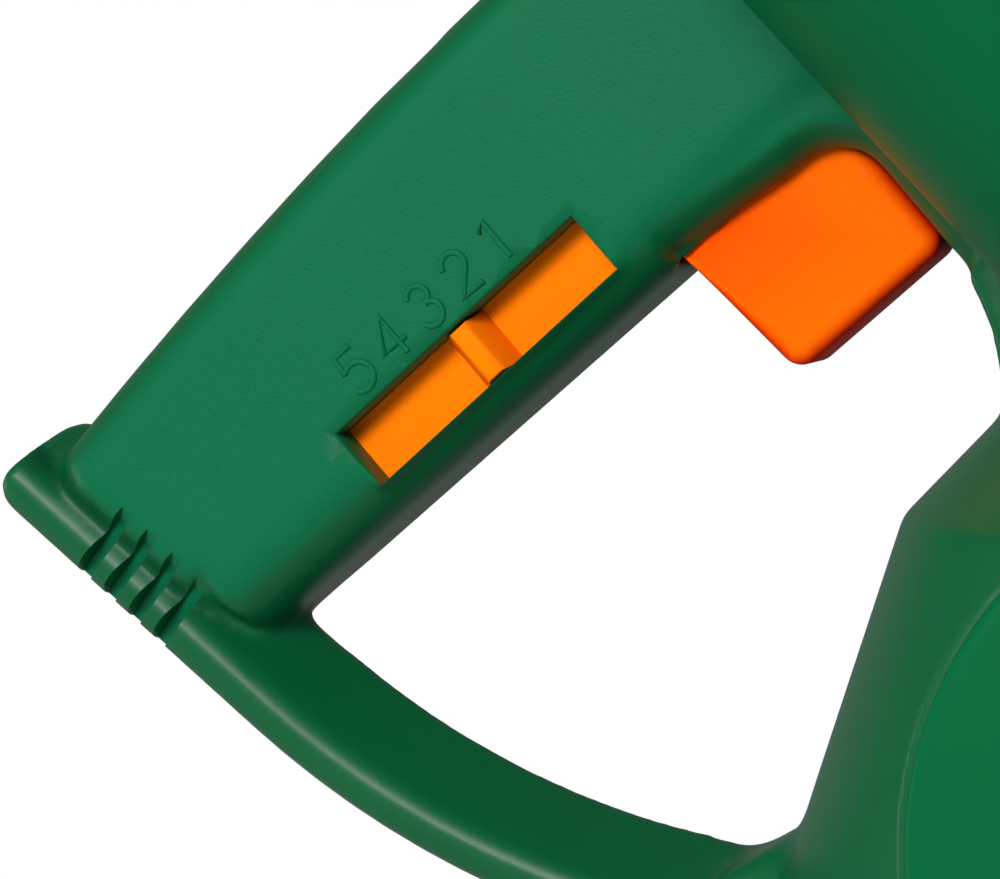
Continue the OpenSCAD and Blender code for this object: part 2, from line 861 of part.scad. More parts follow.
// Throwing disc with a turned-up rim and six swept vanes.
module spinner_plate() {
    plate_t = 2.2;
    vane_h = 9;
    vane_n = 6;
    vane_t = 2;
    sweep = 75;
    hub_r = 9;
    color("green") difference() {
        union() {
            translate([0, 0, spin_z]) cylinder(r = spinner_r, h = plate_t);
            translate([0, 0, spin_z]) linear_extrude(plate_t + 1.5) difference() {
                circle(spinner_r);
                circle(spinner_r - 2);
            }
            translate([0, 0, spin_hub[0]]) cylinder(r = hub_r, h = spin_hub[1] - spin_hub[0]);
            translate([0, 0, spin_z]) linear_extrude(plate_t + vane_h)
                for (i = [0 : vane_n - 1]) rotate(i * 360 / vane_n) intersection() {
                    translate([0, -sweep]) difference() {
                        circle(sweep + vane_t / 2);
                        circle(sweep - vane_t / 2);
                    }
                    translate([hub_r - 2, -spinner_r]) square([spinner_r, 2 * spinner_r]);
                    circle(spinner_r - 1);
                }
        }
        cylinder(r = shaft_r, h = far);
    }
}

module shaft_clip() {
    t = 1.6;
    color("silver") translate([0, 0, spin_hub[0] - t]) difference() {
        cylinder(r = shaft_r + 4, h = t);
        translate([0, 0, -1]) cylinder(r = shaft_r, h = far);
    }
}

module flanged_bush(low, high) {
    flange_t = 1.5;
    color("white") translate([0, 0, low]) difference() {
        union() {
            cylinder(r = bush_r, h = high - low);
            translate([0, 0, high - low]) cylinder(r = bush_r + 2, h = flange_t);
        }
        translate([0, 0, -1]) cylinder(r = shaft_r + fit, h = far);
    }
}

module upper_bush() {
    flanged_bush(deck_top, deck_top + 10);
}

module lower_bush() {
    flanged_bush(ledge_z - 2.5, ledge_z + 7);
}

// Stirring bar on top of the upright shaft.
module agitator() {
    reach = 17;
    finger = 1.8;
    hub_h = 6;
    color("silver") translate([0, 0, shaft_high - hub_h]) difference() {
        union() {
            cylinder(r = shaft_r + 3, h = hub_h);
            for (s = [0, 180]) rotate([0, 0, s]) translate([shaft_r + 1, 0, hub_h / 2]) rotate([0, 80, 0])
                cylinder(r = finger, h = reach);
        }
        translate([0, 0, -1]) cylinder(r = shaft_r, h = far);
    }
}

// A pan-head screw standing on the xy plane, its shank pointing up.
module screw(len) {
    translate([0, 0, -screw_head_t]) cylinder(r = screw_head_r, h = screw_head_t);
    cylinder(r = screw_r, h = len);
}

module body_screws() {
    color("silver") for (p = body_boss)
        translate([p[0], p[2], p[1]]) rotate([90, 0, 0]) screw(p[2] + screw_bite - 1);
}

module cover_screws() {
    color("silver") for (a = cover_boss)
        translate([cover_post(a)[0], case_y - cover_t, cover_post(a)[1]]) rotate([-90, 0, 0])
            screw(cover_t + cover_screw_len - 1);
}

module floor_screws() {
    color("silver") for (a = floor_boss)
        rotate([0, 0, a]) translate([floor_boss_r, 0, ledge_z - 2.5]) screw(2.5 + screw_bite);
}

module hopper_screws() {
    color("silver") for (p = hopper_boss)
        translate([p[0], p[1], gate_z - deck_t]) screw(deck_top - gate_z + deck_t + screw_bite - 1);
}

centred() right_shell();
centred() left_shell();
centred() hopper();
centred() gear_cover();
centred() gear_floor();
centred() drop_chute();
centred() trigger();
centred() gate_link();
centred() trigger_spring();
centred() rate_slider();
centred() flow_gate();
centred() crank_gear();
centred() crank_shaft();
centred() crank_bush();
centred() crank_arm();
centred() crank_screw();
centred() crank_knob();
centred() knob_pin();
centred() spinner_shaft();
centred() pinion();
centred() spinner_plate();
centred() shaft_clip();
centred() upper_bush();
centred() lower_bush();
centred() agitator();
centred() body_screws();
centred() cover_screws();
centred() floor_screws();
centred() hopper_screws();
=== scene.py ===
"""Dresses a hand-cranked spreader: moulded shells, hopper, trigger, rate slide and drive."""

import logging
import math
from dataclasses import dataclass
from enum import Enum
from typing import Any, Iterable, Sequence

import bmesh
import bpy
from mathutils import Matrix, Vector


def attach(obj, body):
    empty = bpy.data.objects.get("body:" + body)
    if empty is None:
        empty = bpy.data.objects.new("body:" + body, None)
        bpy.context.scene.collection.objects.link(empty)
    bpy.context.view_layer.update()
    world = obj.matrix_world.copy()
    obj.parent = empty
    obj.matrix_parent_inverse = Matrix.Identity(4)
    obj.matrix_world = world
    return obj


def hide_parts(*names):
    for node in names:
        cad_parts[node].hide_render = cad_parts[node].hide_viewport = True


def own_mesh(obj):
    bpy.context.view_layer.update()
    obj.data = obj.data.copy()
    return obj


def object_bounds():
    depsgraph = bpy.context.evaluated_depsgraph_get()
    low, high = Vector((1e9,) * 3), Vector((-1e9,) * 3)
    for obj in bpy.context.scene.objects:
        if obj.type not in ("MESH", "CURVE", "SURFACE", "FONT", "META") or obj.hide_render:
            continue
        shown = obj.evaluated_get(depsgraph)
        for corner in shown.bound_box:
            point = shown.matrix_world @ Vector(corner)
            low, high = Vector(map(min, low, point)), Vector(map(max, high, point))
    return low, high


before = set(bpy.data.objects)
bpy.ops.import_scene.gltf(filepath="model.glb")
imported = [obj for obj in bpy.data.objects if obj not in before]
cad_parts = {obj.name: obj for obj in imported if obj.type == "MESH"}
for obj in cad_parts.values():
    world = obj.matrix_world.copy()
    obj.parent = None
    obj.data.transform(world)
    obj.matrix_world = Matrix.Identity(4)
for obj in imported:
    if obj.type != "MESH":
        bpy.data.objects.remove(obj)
cad_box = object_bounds()

LOG = logging.getLogger("spreader")
MM = 0.001
Colour = tuple[float, float, float]

# Sizes are in millimetres about the spinner's axis, which stands this far from the box's front and left.
FRONT_REACH = 99.3
LEFT_REACH = 88.0
SPINNER = Vector((cad_box[1][0] / MM - FRONT_REACH, cad_box[1][1] / MM - LEFT_REACH, 0.0))


class Value:
    """A number in a material's node tree, with arithmetic that adds Math nodes."""

    def __init__(self, graph: "Graph", socket: bpy.types.NodeSocket) -> None:
        """Wraps one output socket.

        Args:
            graph: the node tree that the socket belongs to.
            socket: an output socket that carries a number.
        """
        self.graph = graph
        self.socket = socket

    def _math(self, operation: str, first: Any, second: Any) -> "Value":
        """Adds one Math node.

        Args:
            operation: the Math node's operation.
            first: the first operand.
            second: the second operand.

        Returns:
            The node's result.
        """
        made = self.graph.node("ShaderNodeMath", {"operation": operation}, {0: first, 1: second})
        return Value(self.graph, made.outputs[0])

    def __add__(self, other: Any) -> "Value":
        """Sum."""
        return self._math("ADD", self, other)

    __radd__ = __add__

    def __mul__(self, other: Any) -> "Value":
        """Product."""
        return self._math("MULTIPLY", self, other)

    __rmul__ = __mul__

    def __sub__(self, other: Any) -> "Value":
        """Difference."""
        return self._math("SUBTRACT", self, other)

    def __rsub__(self, other: Any) -> "Value":
        """Difference, with this value taken away."""
        return self._math("SUBTRACT", other, self)


class Graph:
    """A node tree."""

    def __init__(self, tree: bpy.types.NodeTree) -> None:
        """Empties the tree.

        Args:
            tree: the tree that nodes are added to.
        """
        self.tree = tree
        self.tree.nodes.clear()

    def node(self, kind: str, settings: dict[str, Any], sockets: dict[Any, Any]) -> bpy.types.Node:
        """Adds a node.

        Args:
            kind: the node's type.
            settings: attributes that are set first.
            sockets: inputs by name or number, as numbers, colours, sockets or Values.

        Returns:
            The new node.
        """
        made = self.tree.nodes.new(kind)
        for key, value in settings.items():
            setattr(made, key, value)
        for key, value in sockets.items():
            self.feed(made.inputs[key], value)
        return made

    def feed(self, socket: bpy.types.NodeSocket, value: Any) -> None:
        """Links or sets one input.

        Args:
            socket: the input.
            value: a Value, a socket, a number or a colour.
        """
        if isinstance(value, Value):
            self.tree.links.new(value.socket, socket)
        elif isinstance(value, bpy.types.NodeSocket):
            self.tree.links.new(value, socket)
        elif isinstance(value, tuple) and len(value) == 3 and socket.type == "RGBA":
            socket.default_value = (*value, 1.0)
        else:
            socket.default_value = value


class Skin(Graph):
    """One material's node tree."""

    def __init__(self, name: str) -> None:
        """Starts a material with a Principled shader and the Object coordinates.

        Args:
            name: the material's name.
        """
        self.material = bpy.data.materials.new(name)
        self.material.use_nodes = True
        super().__init__(self.material.node_tree)
        self.shader = self.node("ShaderNodeBsdfPrincipled", {}, {})
        self.node("ShaderNodeOutputMaterial", {}, {"Surface": self.shader.outputs[0]})
        self.place = self.node("ShaderNodeTexCoord", {}, {}).outputs["Object"]

    def noise(self, size_mm: float, detail: float = 2.0) -> Value:
        """Noise on the Object coordinates.

        Args:
            size_mm: the size of one grain, in millimetres.
            detail: octaves of finer noise.

        Returns:
            The noise, about 0.5.
        """
        made = self.node(
            "ShaderNodeTexNoise",
            {"noise_dimensions": "3D"},
            {"Vector": self.place, "Scale": 1.0 / (size_mm * MM), "Detail": detail, "Roughness": 0.55},
        )
        return Value(self, made.outputs["Fac"])

    def attribute(self, name: str) -> Value:
        """A number stored on the piece's own points."""
        made = self.node("ShaderNodeAttribute", {"attribute_name": name}, {})
        return Value(self, made.outputs["Fac"])

    def blend(self, factor: Any, low: Any, high: Any) -> bpy.types.NodeSocket:
        """Mixes two colours.

        Args:
            factor: a number or Value from 0 to 1.
            low: the colour at 0.
            high: the colour at 1.

        Returns:
            The mixed colour's socket.
        """
        made = self.node("ShaderNodeMix", {"data_type": "RGBA"}, {"Factor": factor, 6: low, 7: high})
        return made.outputs[2]

    def bump(self, height: Value, depth_mm: float, strength: float) -> None:
        """Sends a height to the shader's normal.

        Args:
            height: the height, about 0 to 1.
            depth_mm: what a height of 1 stands for, in millimetres.
            strength: how far the bump turns the normal.
        """
        made = self.node(
            "ShaderNodeBump", {}, {"Height": height, "Distance": depth_mm * MM, "Strength": strength}
        )
        self.feed(self.shader.inputs["Normal"], made.outputs[0])

    def finish(self, sockets: dict[str, Any]) -> bpy.types.Material:
        """Sets the shader's inputs.

        Args:
            sockets: the shader's inputs by name.

        Returns:
            The material.
        """
        for key, value in sockets.items():
            self.feed(self.shader.inputs[key], value)
        return self.material


@dataclass(frozen=True)
class MouldedPlastic:
    """Plastic from a mould; where it is grained it is paler and duller than where it is smooth. On the
    trigger the grain attribute also paints shade: where it is low, on the rims, the colour is darker and
    redder.
    """

    name: str
    colour: Colour
    roughness: float
    shine: float = 0.05
    gloss: float = 0.0
    grain_mm: float = 0.9
    grain_depth_mm: float = 0.02
    grained: Colour | None = None

    def material(self) -> bpy.types.Material:
        """The material, grained as far as the points' own attributes say, with painted shade where the shade
        attribute is set and, on the trigger, where the grain attribute is low.
        """
        skin = Skin(self.name)
        cloud = skin.noise(26.0)
        ripple = skin.noise(2.6, 1.0)
        amount: Any = skin.attribute("grain") if self.grained else 0.3
        speck = (skin.noise(self.grain_mm, 1.0) - 0.5) * amount
        skin.bump(speck + ripple * 0.1, self.grain_depth_mm, 0.6)
        tone = skin.blend(cloud, self._shade(self.colour), self.colour)
        gloss: Any = 1.0
        if self.grained:
            # Painted shade: the shade attribute darkens the colour in the rear valley towards a near-black
            # green, and takes the coat off there
            shade = skin.attribute("shade")
            tone = skin.blend(shade * 0.6, tone, (0.0, 0.02, 0.006))
            gloss = 1.0 - amount - shade
            rough = skin.blend(cloud * 0.5 + speck * 1.4 + 0.25, self._shade(self.grained), self.grained)
            tone = skin.blend(amount, tone, rough)
        dull: Any = amount * 0.1 if self.grained else 0.0
        return skin.finish(
            {
                "Base Color": tone,
                "Roughness": speck * 0.2 + ripple * 0.06 + (self.roughness - 0.03) + dull,
                "Specular IOR Level": self.shine,
                "Coat Weight": gloss * self.gloss,
                "Coat Roughness": 0.36,
            }
        )

    @staticmethod
    def _shade(colour: Colour) -> Colour:
        """The darker tone of a colour."""
        return tuple(0.86 * c for c in colour)


@dataclass(frozen=True)
class Metal:
    """Plated or drawn steel."""

    name: str
    colour: Colour
    roughness: float

    def material(self) -> bpy.types.Material:
        """The material, with fine scratches and dull patches."""
        skin = Skin(self.name)
        scratch = skin.noise(0.5, 3.0)
        patch = skin.noise(9.0)
        skin.bump(scratch, 0.02, 0.25)
        return skin.finish(
            {
                "Base Color": skin.blend(patch, tuple(0.8 * c for c in self.colour), self.colour),
                "Metallic": 1.0,
                "Roughness": patch * 0.2 + (scratch - 0.5) * 0.15 + (self.roughness - 0.1),
            }
        )


class Finish(Enum):
    """The finishes that the spreader shows."""

    SHELL = MouldedPlastic(
        "shell_green",
        colour=(0.0008, 0.088, 0.028),
        roughness=0.42,
        shine=0.07,
        gloss=0.24,
        grain_mm=0.42,
        grain_depth_mm=0.1,
        grained=(0.001, 0.118, 0.047),
    )
    SMOOTH = MouldedPlastic("smooth_green", (0.0008, 0.1, 0.032), 0.4, 0.02, 0.05)
    DEEP = MouldedPlastic("inner_green", (0.0008, 0.07, 0.022), 0.45)
    # The trigger's colour is painted shade. Its rounded rims, and the faces turned away from its sides, take
    # this darker red. Its side faces take the grained orange.
    TRIGGER = MouldedPlastic(
        "trigger_orange",
        colour=(0.9, 0.02, 0.0),
        roughness=0.45,
        shine=0.01,
        grain_depth_mm=0.01,
        grained=(1.0, 0.135, 0.001),
    )
    ORANGE = MouldedPlastic("knob_orange", (1.0, 0.135, 0.001), 0.45, 0.01)
    SLIDE = MouldedPlastic("slide_orange", (1.0, 0.19, 0.001), 0.45, 0.01)
    NYLON = MouldedPlastic("gear_nylon", (0.72, 0.7, 0.64), 0.4)
    STEEL = Metal("plated_steel", (0.62, 0.61, 0.58), 0.34)


class Workshop:
    """Turns bmeshes into finished pieces and keeps each finish's material."""

    def __init__(self) -> None:
        """Starts with no materials."""
        self._made: dict[Finish, bpy.types.Material] = {}

    def material(self, finish: Finish) -> bpy.types.Material:
        """The one material of a finish."""
        if finish not in self._made:
            self._made[finish] = finish.value.material()
        return self._made[finish]

    def piece(
        self,
        name: str,
        bm: bmesh.types.BMesh,
        finish: Finish,
        body: str,
        nodes: Iterable[str] = (),
        sharp_deg: float = 40.0,
        cutters: Iterable[bmesh.types.BMesh] = (),
        placed: bool = False,
    ) -> bpy.types.Object:
        """Makes a piece of the object from a bmesh in millimetres.

        Args:
            name: the piece's name.
            bm: its shape; it is freed here.
            finish: its finish.
            body: the body that it rides on.
            nodes: the CAD nodes that it stands for.
            sharp_deg: edges that turn further than this stay sharp.
            cutters: shapes that are cut out of it, in millimetres; they are freed here.
            placed: True if the shape already is in metres and in the shared frame.

        Returns:
            The finished object.
        """
        obj = self.shape(name, bm, placed)
        for cutter in cutters:
            self.cut(obj, cutter)
        self.dress(obj, finish, sharp_deg)
        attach(obj, body)
        if nodes:
            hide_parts(*nodes)
        LOG.info("%s: %d faces on %s", name, len(obj.data.polygons), body)
        return obj

    def dress(self, obj: bpy.types.Object, finish: Finish, sharp_deg: float) -> None:
        """Gives an object its material and smooth shading."""
        obj.data.materials.clear()
        obj.data.materials.append(self.material(finish))
        obj.data.shade_smooth()
        obj.data.set_sharp_from_angle(angle=math.radians(sharp_deg))

    @staticmethod
    def mesh(name: str, bm: bmesh.types.BMesh, placed: bool = False) -> bpy.types.Mesh:
        """A mesh in metres and in the shared frame.

        Args:
            name: the mesh's name.
            bm: its shape; it is freed here.
            placed: False if the shape is in millimetres about the spinner's axis.

        Returns:
            The mesh.
        """
        if not placed:
            bm.transform(Matrix.Scale(MM, 4) @ Matrix.Translation(SPINNER))
        bmesh.ops.remove_doubles(bm, verts=bm.verts, dist=1e-7)
        bmesh.ops.recalc_face_normals(bm, faces=bm.faces)
        made = bpy.data.meshes.new(name)
        bm.to_mesh(made)
        bm.free()
        return made

    def shape(self, name: str, bm: bmesh.types.BMesh, placed: bool = False) -> bpy.types.Object:
        """An object in the scene, as mesh() makes it."""
        obj = bpy.data.objects.new(name, self.mesh(name, bm, placed))
        bpy.context.scene.collection.objects.link(obj)
        return obj

    def cut(self, obj: bpy.types.Object, cutter: bmesh.types.BMesh) -> None:
        """Cuts one shape out of an object and keeps the result as its mesh."""
        tool = self.shape("cutter", cutter)
        cut = obj.modifiers.new("cut", "BOOLEAN")
        cut.operation = "DIFFERENCE"
        cut.solver = "MANIFOLD"
        cut.object = tool
        self.bake(obj)
        bpy.data.objects.remove(tool)

    @staticmethod
    def bake(obj: bpy.types.Object) -> None:
        """Applies an object's modifiers to its mesh."""
        graph = bpy.context.evaluated_depsgraph_get()
        mesh = bpy.data.meshes.new_from_object(obj.evaluated_get(graph))
        obj.modifiers.clear()
        obj.data = mesh


def slope(degrees: float) -> Matrix:
    """A turn about Y that lifts +X towards +Z."""
    return Matrix.Rotation(-math.radians(degrees), 4, "Y")


def at(x: float, y: float, z: float) -> Matrix:
    """A shift, in millimetres."""
    return Matrix.Translation((x, y, z))


def outline(points: Sequence[tuple[float, float]]) -> bmesh.types.BMesh:
    """A flat face in the side view.

    Args:
        points: its corners as (x, z).

    Returns:
        A bmesh with one face at y = 0.
    """
    bm = bmesh.new()
    bm.faces.new([bm.verts.new((x, 0.0, z)) for x, z in points])
    return bm


def thicken(bm: bmesh.types.BMesh, low: float, high: float) -> None:
    """Makes a flat side view a slab from y = low to y = high."""
    bmesh.ops.translate(bm, verts=bm.verts, vec=(0.0, low, 0.0))
    extrude(bm, Vector((0.0, high - low, 0.0)))


def soften(bm: bmesh.types.BMesh, edges: Iterable[bmesh.types.BMEdge], radius: float, steps: int) -> None:
    """Rounds edges.

    Args:
        bm: the shape.
        edges: the edges to round.
        radius: the rounding, in millimetres.
        steps: segments across each rounding.
    """
    bmesh.ops.bevel(
        bm,
        geom=list(edges),
        offset=radius,
        offset_type="OFFSET",
        affect="EDGES",
        segments=steps,
        profile=0.5,
        material=-1,
        clamp_overlap=True,
    )


def block(low: Sequence[float], high: Sequence[float]) -> bmesh.types.BMesh:
    """A box between two corners."""
    bm = bmesh.new()
    size = [h - l for l, h in zip(low, high)]
    middle = [(h + l) / 2 for l, h in zip(low, high)]
    bmesh.ops.create_cube(bm, size=1.0, matrix=Matrix.Translation(middle) @ Matrix.Diagonal((*size, 1.0)))
    return bm


def extrude(bm: bmesh.types.BMesh, way: Vector) -> None:
    """Makes a flat face a prism."""
    made = bmesh.ops.extrude_face_region(bm, geom=list(bm.faces))
    bmesh.ops.translate(bm, verts=[v for v in made["geom"] if isinstance(v, bmesh.types.BMVert)], vec=way)
    bmesh.ops.recalc_face_normals(bm, faces=bm.faces)


def solid(points: Iterable[Sequence[float]]) -> bmesh.types.BMesh:
    """The convex solid round some points."""
    bm = bmesh.new()
    bmesh.ops.convex_hull(bm, input=[bm.verts.new(p) for p in points])
    return bm


def join(bm: bmesh.types.BMesh, other: bmesh.types.BMesh) -> None:
    """Adds a second shape to a bmesh; the second is freed here."""
    mesh = bpy.data.meshes.new("joined")
    other.to_mesh(mesh)
    other.free()
    bm.from_mesh(mesh)
    bpy.data.meshes.remove(mesh)


def loft(rings: Sequence[Sequence[Vector]]) -> bmesh.types.BMesh:
    """A closed solid through rings of points, one after another."""
    bm = bmesh.new()
    face = bm.faces.new([bm.verts.new(p) for p in rings[0]])
    for index, ring in enumerate(rings[1:]):
        made = bmesh.ops.extrude_face_region(bm, geom=[face])
        if index:
            bm.faces.remove(face)
        face = next(f for f in made["geom"] if isinstance(f, bmesh.types.BMFace))
        for vert, point in zip(face.verts, ring):
            vert.co = point
    bmesh.ops.recalc_face_normals(bm, faces=bm.faces)
    return bm


def along(points: Sequence[Vector], up: Vector, section: Sequence[tuple[float, float]]) -> bmesh.types.BMesh:
    """A section swept along a path.

    Args:
        points: the path.
        up: a way that is square to the path everywhere.
        section: points as (across, up), where across is to the right of the path.

    Returns:
        The closed shape.
    """
    rings = []
    for before, point, after in zip([points[0], *points], points, [*points[1:], points[-1]]):
        across = (after - before).cross(up).normalized()
        rings.append([point + across * a + up * b for a, b in section])
    return loft(rings)


def turned(profile: Sequence[tuple[float, float]], place: Matrix, steps: int = 96) -> bmesh.types.BMesh:
    """A solid of revolution about the local Z axis.

    Args:
        profile: closed outline as (radius, height).
        place: where the local frame goes.
        steps: segments round the axis.

    Returns:
        The closed shape.
    """
    bm = bmesh.new()
    ring = [bm.verts.new((r, 0.0, h)) for r, h in profile]
    edges = [bm.edges.new((a, b)) for a, b in zip(ring, ring[1:] + ring[:1])]
    bmesh.ops.spin(
        bm,
        geom=ring + edges,
        cent=(0, 0, 0),
        axis=(0, 0, 1),
        angle=2 * math.pi,
        steps=steps,
        use_merge=True,
    )
    bmesh.ops.remove_doubles(bm, verts=bm.verts, dist=1e-4)
    bmesh.ops.recalc_face_normals(bm, faces=bm.faces)
    bm.transform(place)
    return bm


def arc(centre: tuple[float, float], radius: float, first: float, last: float, steps: int) -> list:
    """Points on an arc.

    Args:
        centre: its centre.
        radius: its radius.
        first: the first angle, in degrees.
        last: the last angle, in degrees.
        steps: how many segments it has.

    Returns:
        The points, both ends included.
    """
    angles = [math.radians(first + (last - first) * i / steps) for i in range(steps + 1)]
    return [(centre[0] + radius * math.cos(a), centre[1] + radius * math.sin(a)) for a in angles]


def facing_right() -> Matrix:
    """Turns the local Z axis to -Y, the side that the crank is on."""
    return Matrix.Rotation(math.radians(90), 4, "X")


@dataclass
class Handle:
    """The sloping handle and its bar: the frames that other pieces stand in."""

    grip_x: float = -138.6
    grip_z: float = 144.9
    grip_slope: float = 43.7
    grip_turn: float = 2.7
    grip_low: float = 22.55
    grip_w: float = 32.0
    win_x: float = -120.0
    win_z: float = 143.0
    win_slope: float = 42.0
    win_len: float = 45.0
    win_w: float = 9.4
    win_depth: float = 6.0
    bar_x: float = -69.3
    bar_z: float = 191.3
    bar_out: float = 132.2
    bar_t: float = 14.6
    bar_w: float = 29.0
    bead: float = 4.0
    rear_slope: float = 39.7

    def grip(self) -> Matrix:
        """The frame of the handle: x along it, z across it."""
        return at(self.grip_x, 0, self.grip_z) @ slope(self.grip_slope)

    def under(self) -> Matrix:
        """The frame of the underside: x along it, z into the handle."""
        return self.grip() @ at(0, 0, -self.grip_low) @ slope(-self.grip_turn)

    def window(self) -> Matrix:
        """The frame of the rate window: x along it, z across it."""
        return at(self.win_x, 0, self.win_z) @ slope(self.win_slope)

    def band(self) -> Matrix:
        """The frame of the rear band: x along its outer edge, z into it."""
        return at(self.bar_x, 0, self.bar_z) @ slope(-self.rear_slope) @ at(0, 0, -self.bar_out)

    def on_bar(self, degrees: float) -> tuple[float, float]:
        """A point on the middle of the bar, in the side view."""
        radius = self.bar_out - self.bar_t / 2
        return arc((self.bar_x, self.bar_z), radius, degrees, degrees, 1)[0]


@dataclass
class Shells:
    """The two moulded halves of the body: rounded as one skin, then parted."""

    shop: Workshop
    handle: Handle
    voxel: float = 0.6
    passes: int = 10
    kept: float = 0.22
    seam: float = 0.02
    reach: float = 400.0
    grip_face: float = 14.6
    grip_front: float = -52.0
    grain_from: float = 0.7
    groove_first: float = -33.7
    groove_pitch: float = 4.8
    groove_w: float = 2.3
    groove_n: int = 4
    groove_y: float = 9.9
    groove_rise: float = 0.29
    groove_end: float = 10.0
    valley_x: float = -9.0
    valley_z: float = 8.4
    valley_w: float = 2.4
    valley_y: float = 9.0
    valley_fade: float = 10.0
    flare: float = 0.45
    slot: float = 8.3
    brow_deep: float = 8.0
    brow_x: float = 69.9
    brow_z: float = -0.6
    brow_bend: float = 7.5
    brow_rear: float = 40.0
    brow_foot: float = -27.0

    def build(self) -> None:
        """Makes both halves."""
        whole = self._whole()
        for node, side in (("right_shell", -1), ("left_shell", 1)):
            self._half(whole, node, side)
        bpy.data.objects.remove(whole)

    def fillets(self) -> list[tuple[float, float, float, int]]:
        """Places in the side view where walls meet in a wide fillet: x, z, reach, passes."""
        return [
            (-148.0, 104.5, 9.0, 30),
            (-78.0, 75.0, 12.0, 90),
            (-50.5, 138.0, 7.0, 16),
            (-52.5, 153.0, 5.0, 18),
        ]

    def _whole(self) -> bpy.types.Object:
        """Both halves in one skin, with its edges rounded."""
        bm = bmesh.new()
        for node in ("right_shell", "left_shell"):
            bm.from_mesh(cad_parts[node].data)
        fills = [self._pane(), self._bell()]
        for side in (-1, 1):
            fills += [self._bead(side), self._valley(side), self._liner(side)]
            fills += self._corners(side)
        for fill in fills:
            mesh = self.shop.mesh("fill", fill)
            bm.from_mesh(mesh)
            bpy.data.meshes.remove(mesh)
        obj = self.shop.shape("shells", bm, True)
        self._skin(obj)
        for cutter in (self._brow(-1), self._brow(1), self._hopper_room()):
            self.shop.cut(obj, cutter)
        self._skin(obj)
        self._smooth(obj)
        thin = obj.modifiers.new("thin", "DECIMATE")
        thin.ratio = self.kept
        self.shop.bake(obj)
        return obj

    def _skin(self, obj: bpy.types.Object) -> None:
        """Draws one even skin over an object's solids."""
        skin = obj.modifiers.new("skin", "REMESH")
        skin.mode = "VOXEL"
        skin.voxel_size = self.voxel * MM
        self.shop.bake(obj)

    def _half(self, whole: bpy.types.Object, node: str, side: int) -> None:
        """Parts one half from the skin and cuts its sharp details.

        Args:
            whole: both halves in one skin.
            node: the half's CAD node.
            side: -1 for the right half, 1 for the left.
        """
        obj = bpy.data.objects.new(node + "_moulded", whole.data.copy())
        bpy.context.scene.collection.objects.link(obj)
        r = self.reach
        other = (-self.seam, r) if side < 0 else (-r, self.seam)
        self.shop.cut(obj, block((-r, other[0], -r), (r, other[1], r)))
        for cutter in self._cutters(side):
            self.shop.cut(obj, cutter)
        self._grain_and_valley_shade(obj)
        self.shop.dress(obj, Finish.SHELL, 60.0)
        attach(obj, "body")
        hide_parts(node)
        LOG.info("%s: %d faces", obj.name, len(obj.data.polygons))

    def _pane(self) -> bmesh.types.BMesh:
        """Fills the window until the edges are rounded."""
        h = self.handle
        x, face, z = h.win_len / 2 + 0.4, -h.grip_w / 2, h.win_w / 2 + 0.4
        pane = block((-x, face, -z), (x, face + h.win_depth - 0.2, z))
        pane.transform(h.window())
        return pane

    @staticmethod
    def _bell() -> bmesh.types.BMesh:
        """A finely turned skin over the rear of the bell, so that no facet shows."""
        outer = [(79.0, 2.0), (79.0, 70.0), (62.5, 121.5), (49.2, 135.5), (49.2, 144.0)]
        inner = [(r - 1.5, z) for r, z in reversed(outer)]
        bm = bmesh.new()
        bm.faces.new([bm.verts.new((r, 0, z)) for r, z in outer + inner])
        bmesh.ops.spin(
            bm,
            geom=[*bm.verts, *bm.edges, *bm.faces],
            cent=(0, 0, 0),
            axis=(0, 0, 1),
            angle=math.radians(170),
            steps=170,
        )
        bm.transform(Matrix.Rotation(math.radians(95), 4, "Z"))
        return bm

    def _bead(self, side: int) -> bmesh.types.BMesh:
        """Fills the grooves of one side until the edges are rounded."""
        h = self.handle
        bead = arc((h.bar_w / 2 - h.bead, h.bead), h.bead, 270, 420, 10)
        section = [(0.0, 0.0)] + bead + [(0.0, h.bar_t)]
        first = self.groove_first - 0.8
        last = self.groove_first + (self.groove_n - 1) * self.groove_pitch + self.groove_w + 0.8
        bm = solid((x, side * y, z) for x in (first, last) for y, z in section)
        bm.transform(h.band())
        return bm

    def _valley(self, side: int) -> bmesh.types.BMesh:
        """Fills the step between the rear bead and the side face to a shallow valley."""
        middle = [(8.0, 6.0), (12.6, 7.6), (15.9, 11.2), (16.0, 12.0), (16.0, 16.0), (8.0, 16.0)]
        near = [(8.0, 6.0), (11.8, 7.6), (14.8, 11.2), (15.0, 13.0), (8.0, 14.0)]
        low = [(8.0, 6.5), (10.0, 7.8), (11.0, 10.8), (11.0, 12.5)]
        end = [(8.0, 7.0), (8.6, 8.0), (8.6, 11.0)]
        stations = [(-47.0, end), (-45.0, low), (-42.5, near), (-40.0, middle), (-21.0, middle), (-9.0, end)]
        bm = solid((x, side * y, z) for x, section in stations for y, z in section)
        bm.transform(self.handle.band())
        return bm

    def _opening(self, side: int, section: Sequence[tuple[float, float]]) -> bmesh.types.BMesh:
        """A section swept round the upper end of the trigger's opening, on one side."""
        bend = self.brow_bend
        path = [(self.brow_rear, self.brow_z + 2.6), (self.brow_rear + 20.0, self.brow_z)]
        path += arc((self.brow_x - bend, self.brow_z - bend), bend, 90, 0, 10)
        path += [(self.brow_x, self.brow_foot)]
        bm = along([Vector((x, 0, z)) for x, z in path], Vector((0, -1, 0)), section)
        if side > 0:
            bm.transform(Matrix.Diagonal((1, -1, 1, 1)))
        bm.transform(self.handle.under())
        return bm

    def _liner(self, side: int) -> bmesh.types.BMesh:
        """Thickens the wall beside the trigger, so that its edge can be rounded."""
        face, deep = self.handle.grip_w / 2 - 1.0, self.brow_deep + 0.5
        return self._opening(side, [(0.0, self.slot), (-deep, self.slot), (-deep, face), (0.0, face)])

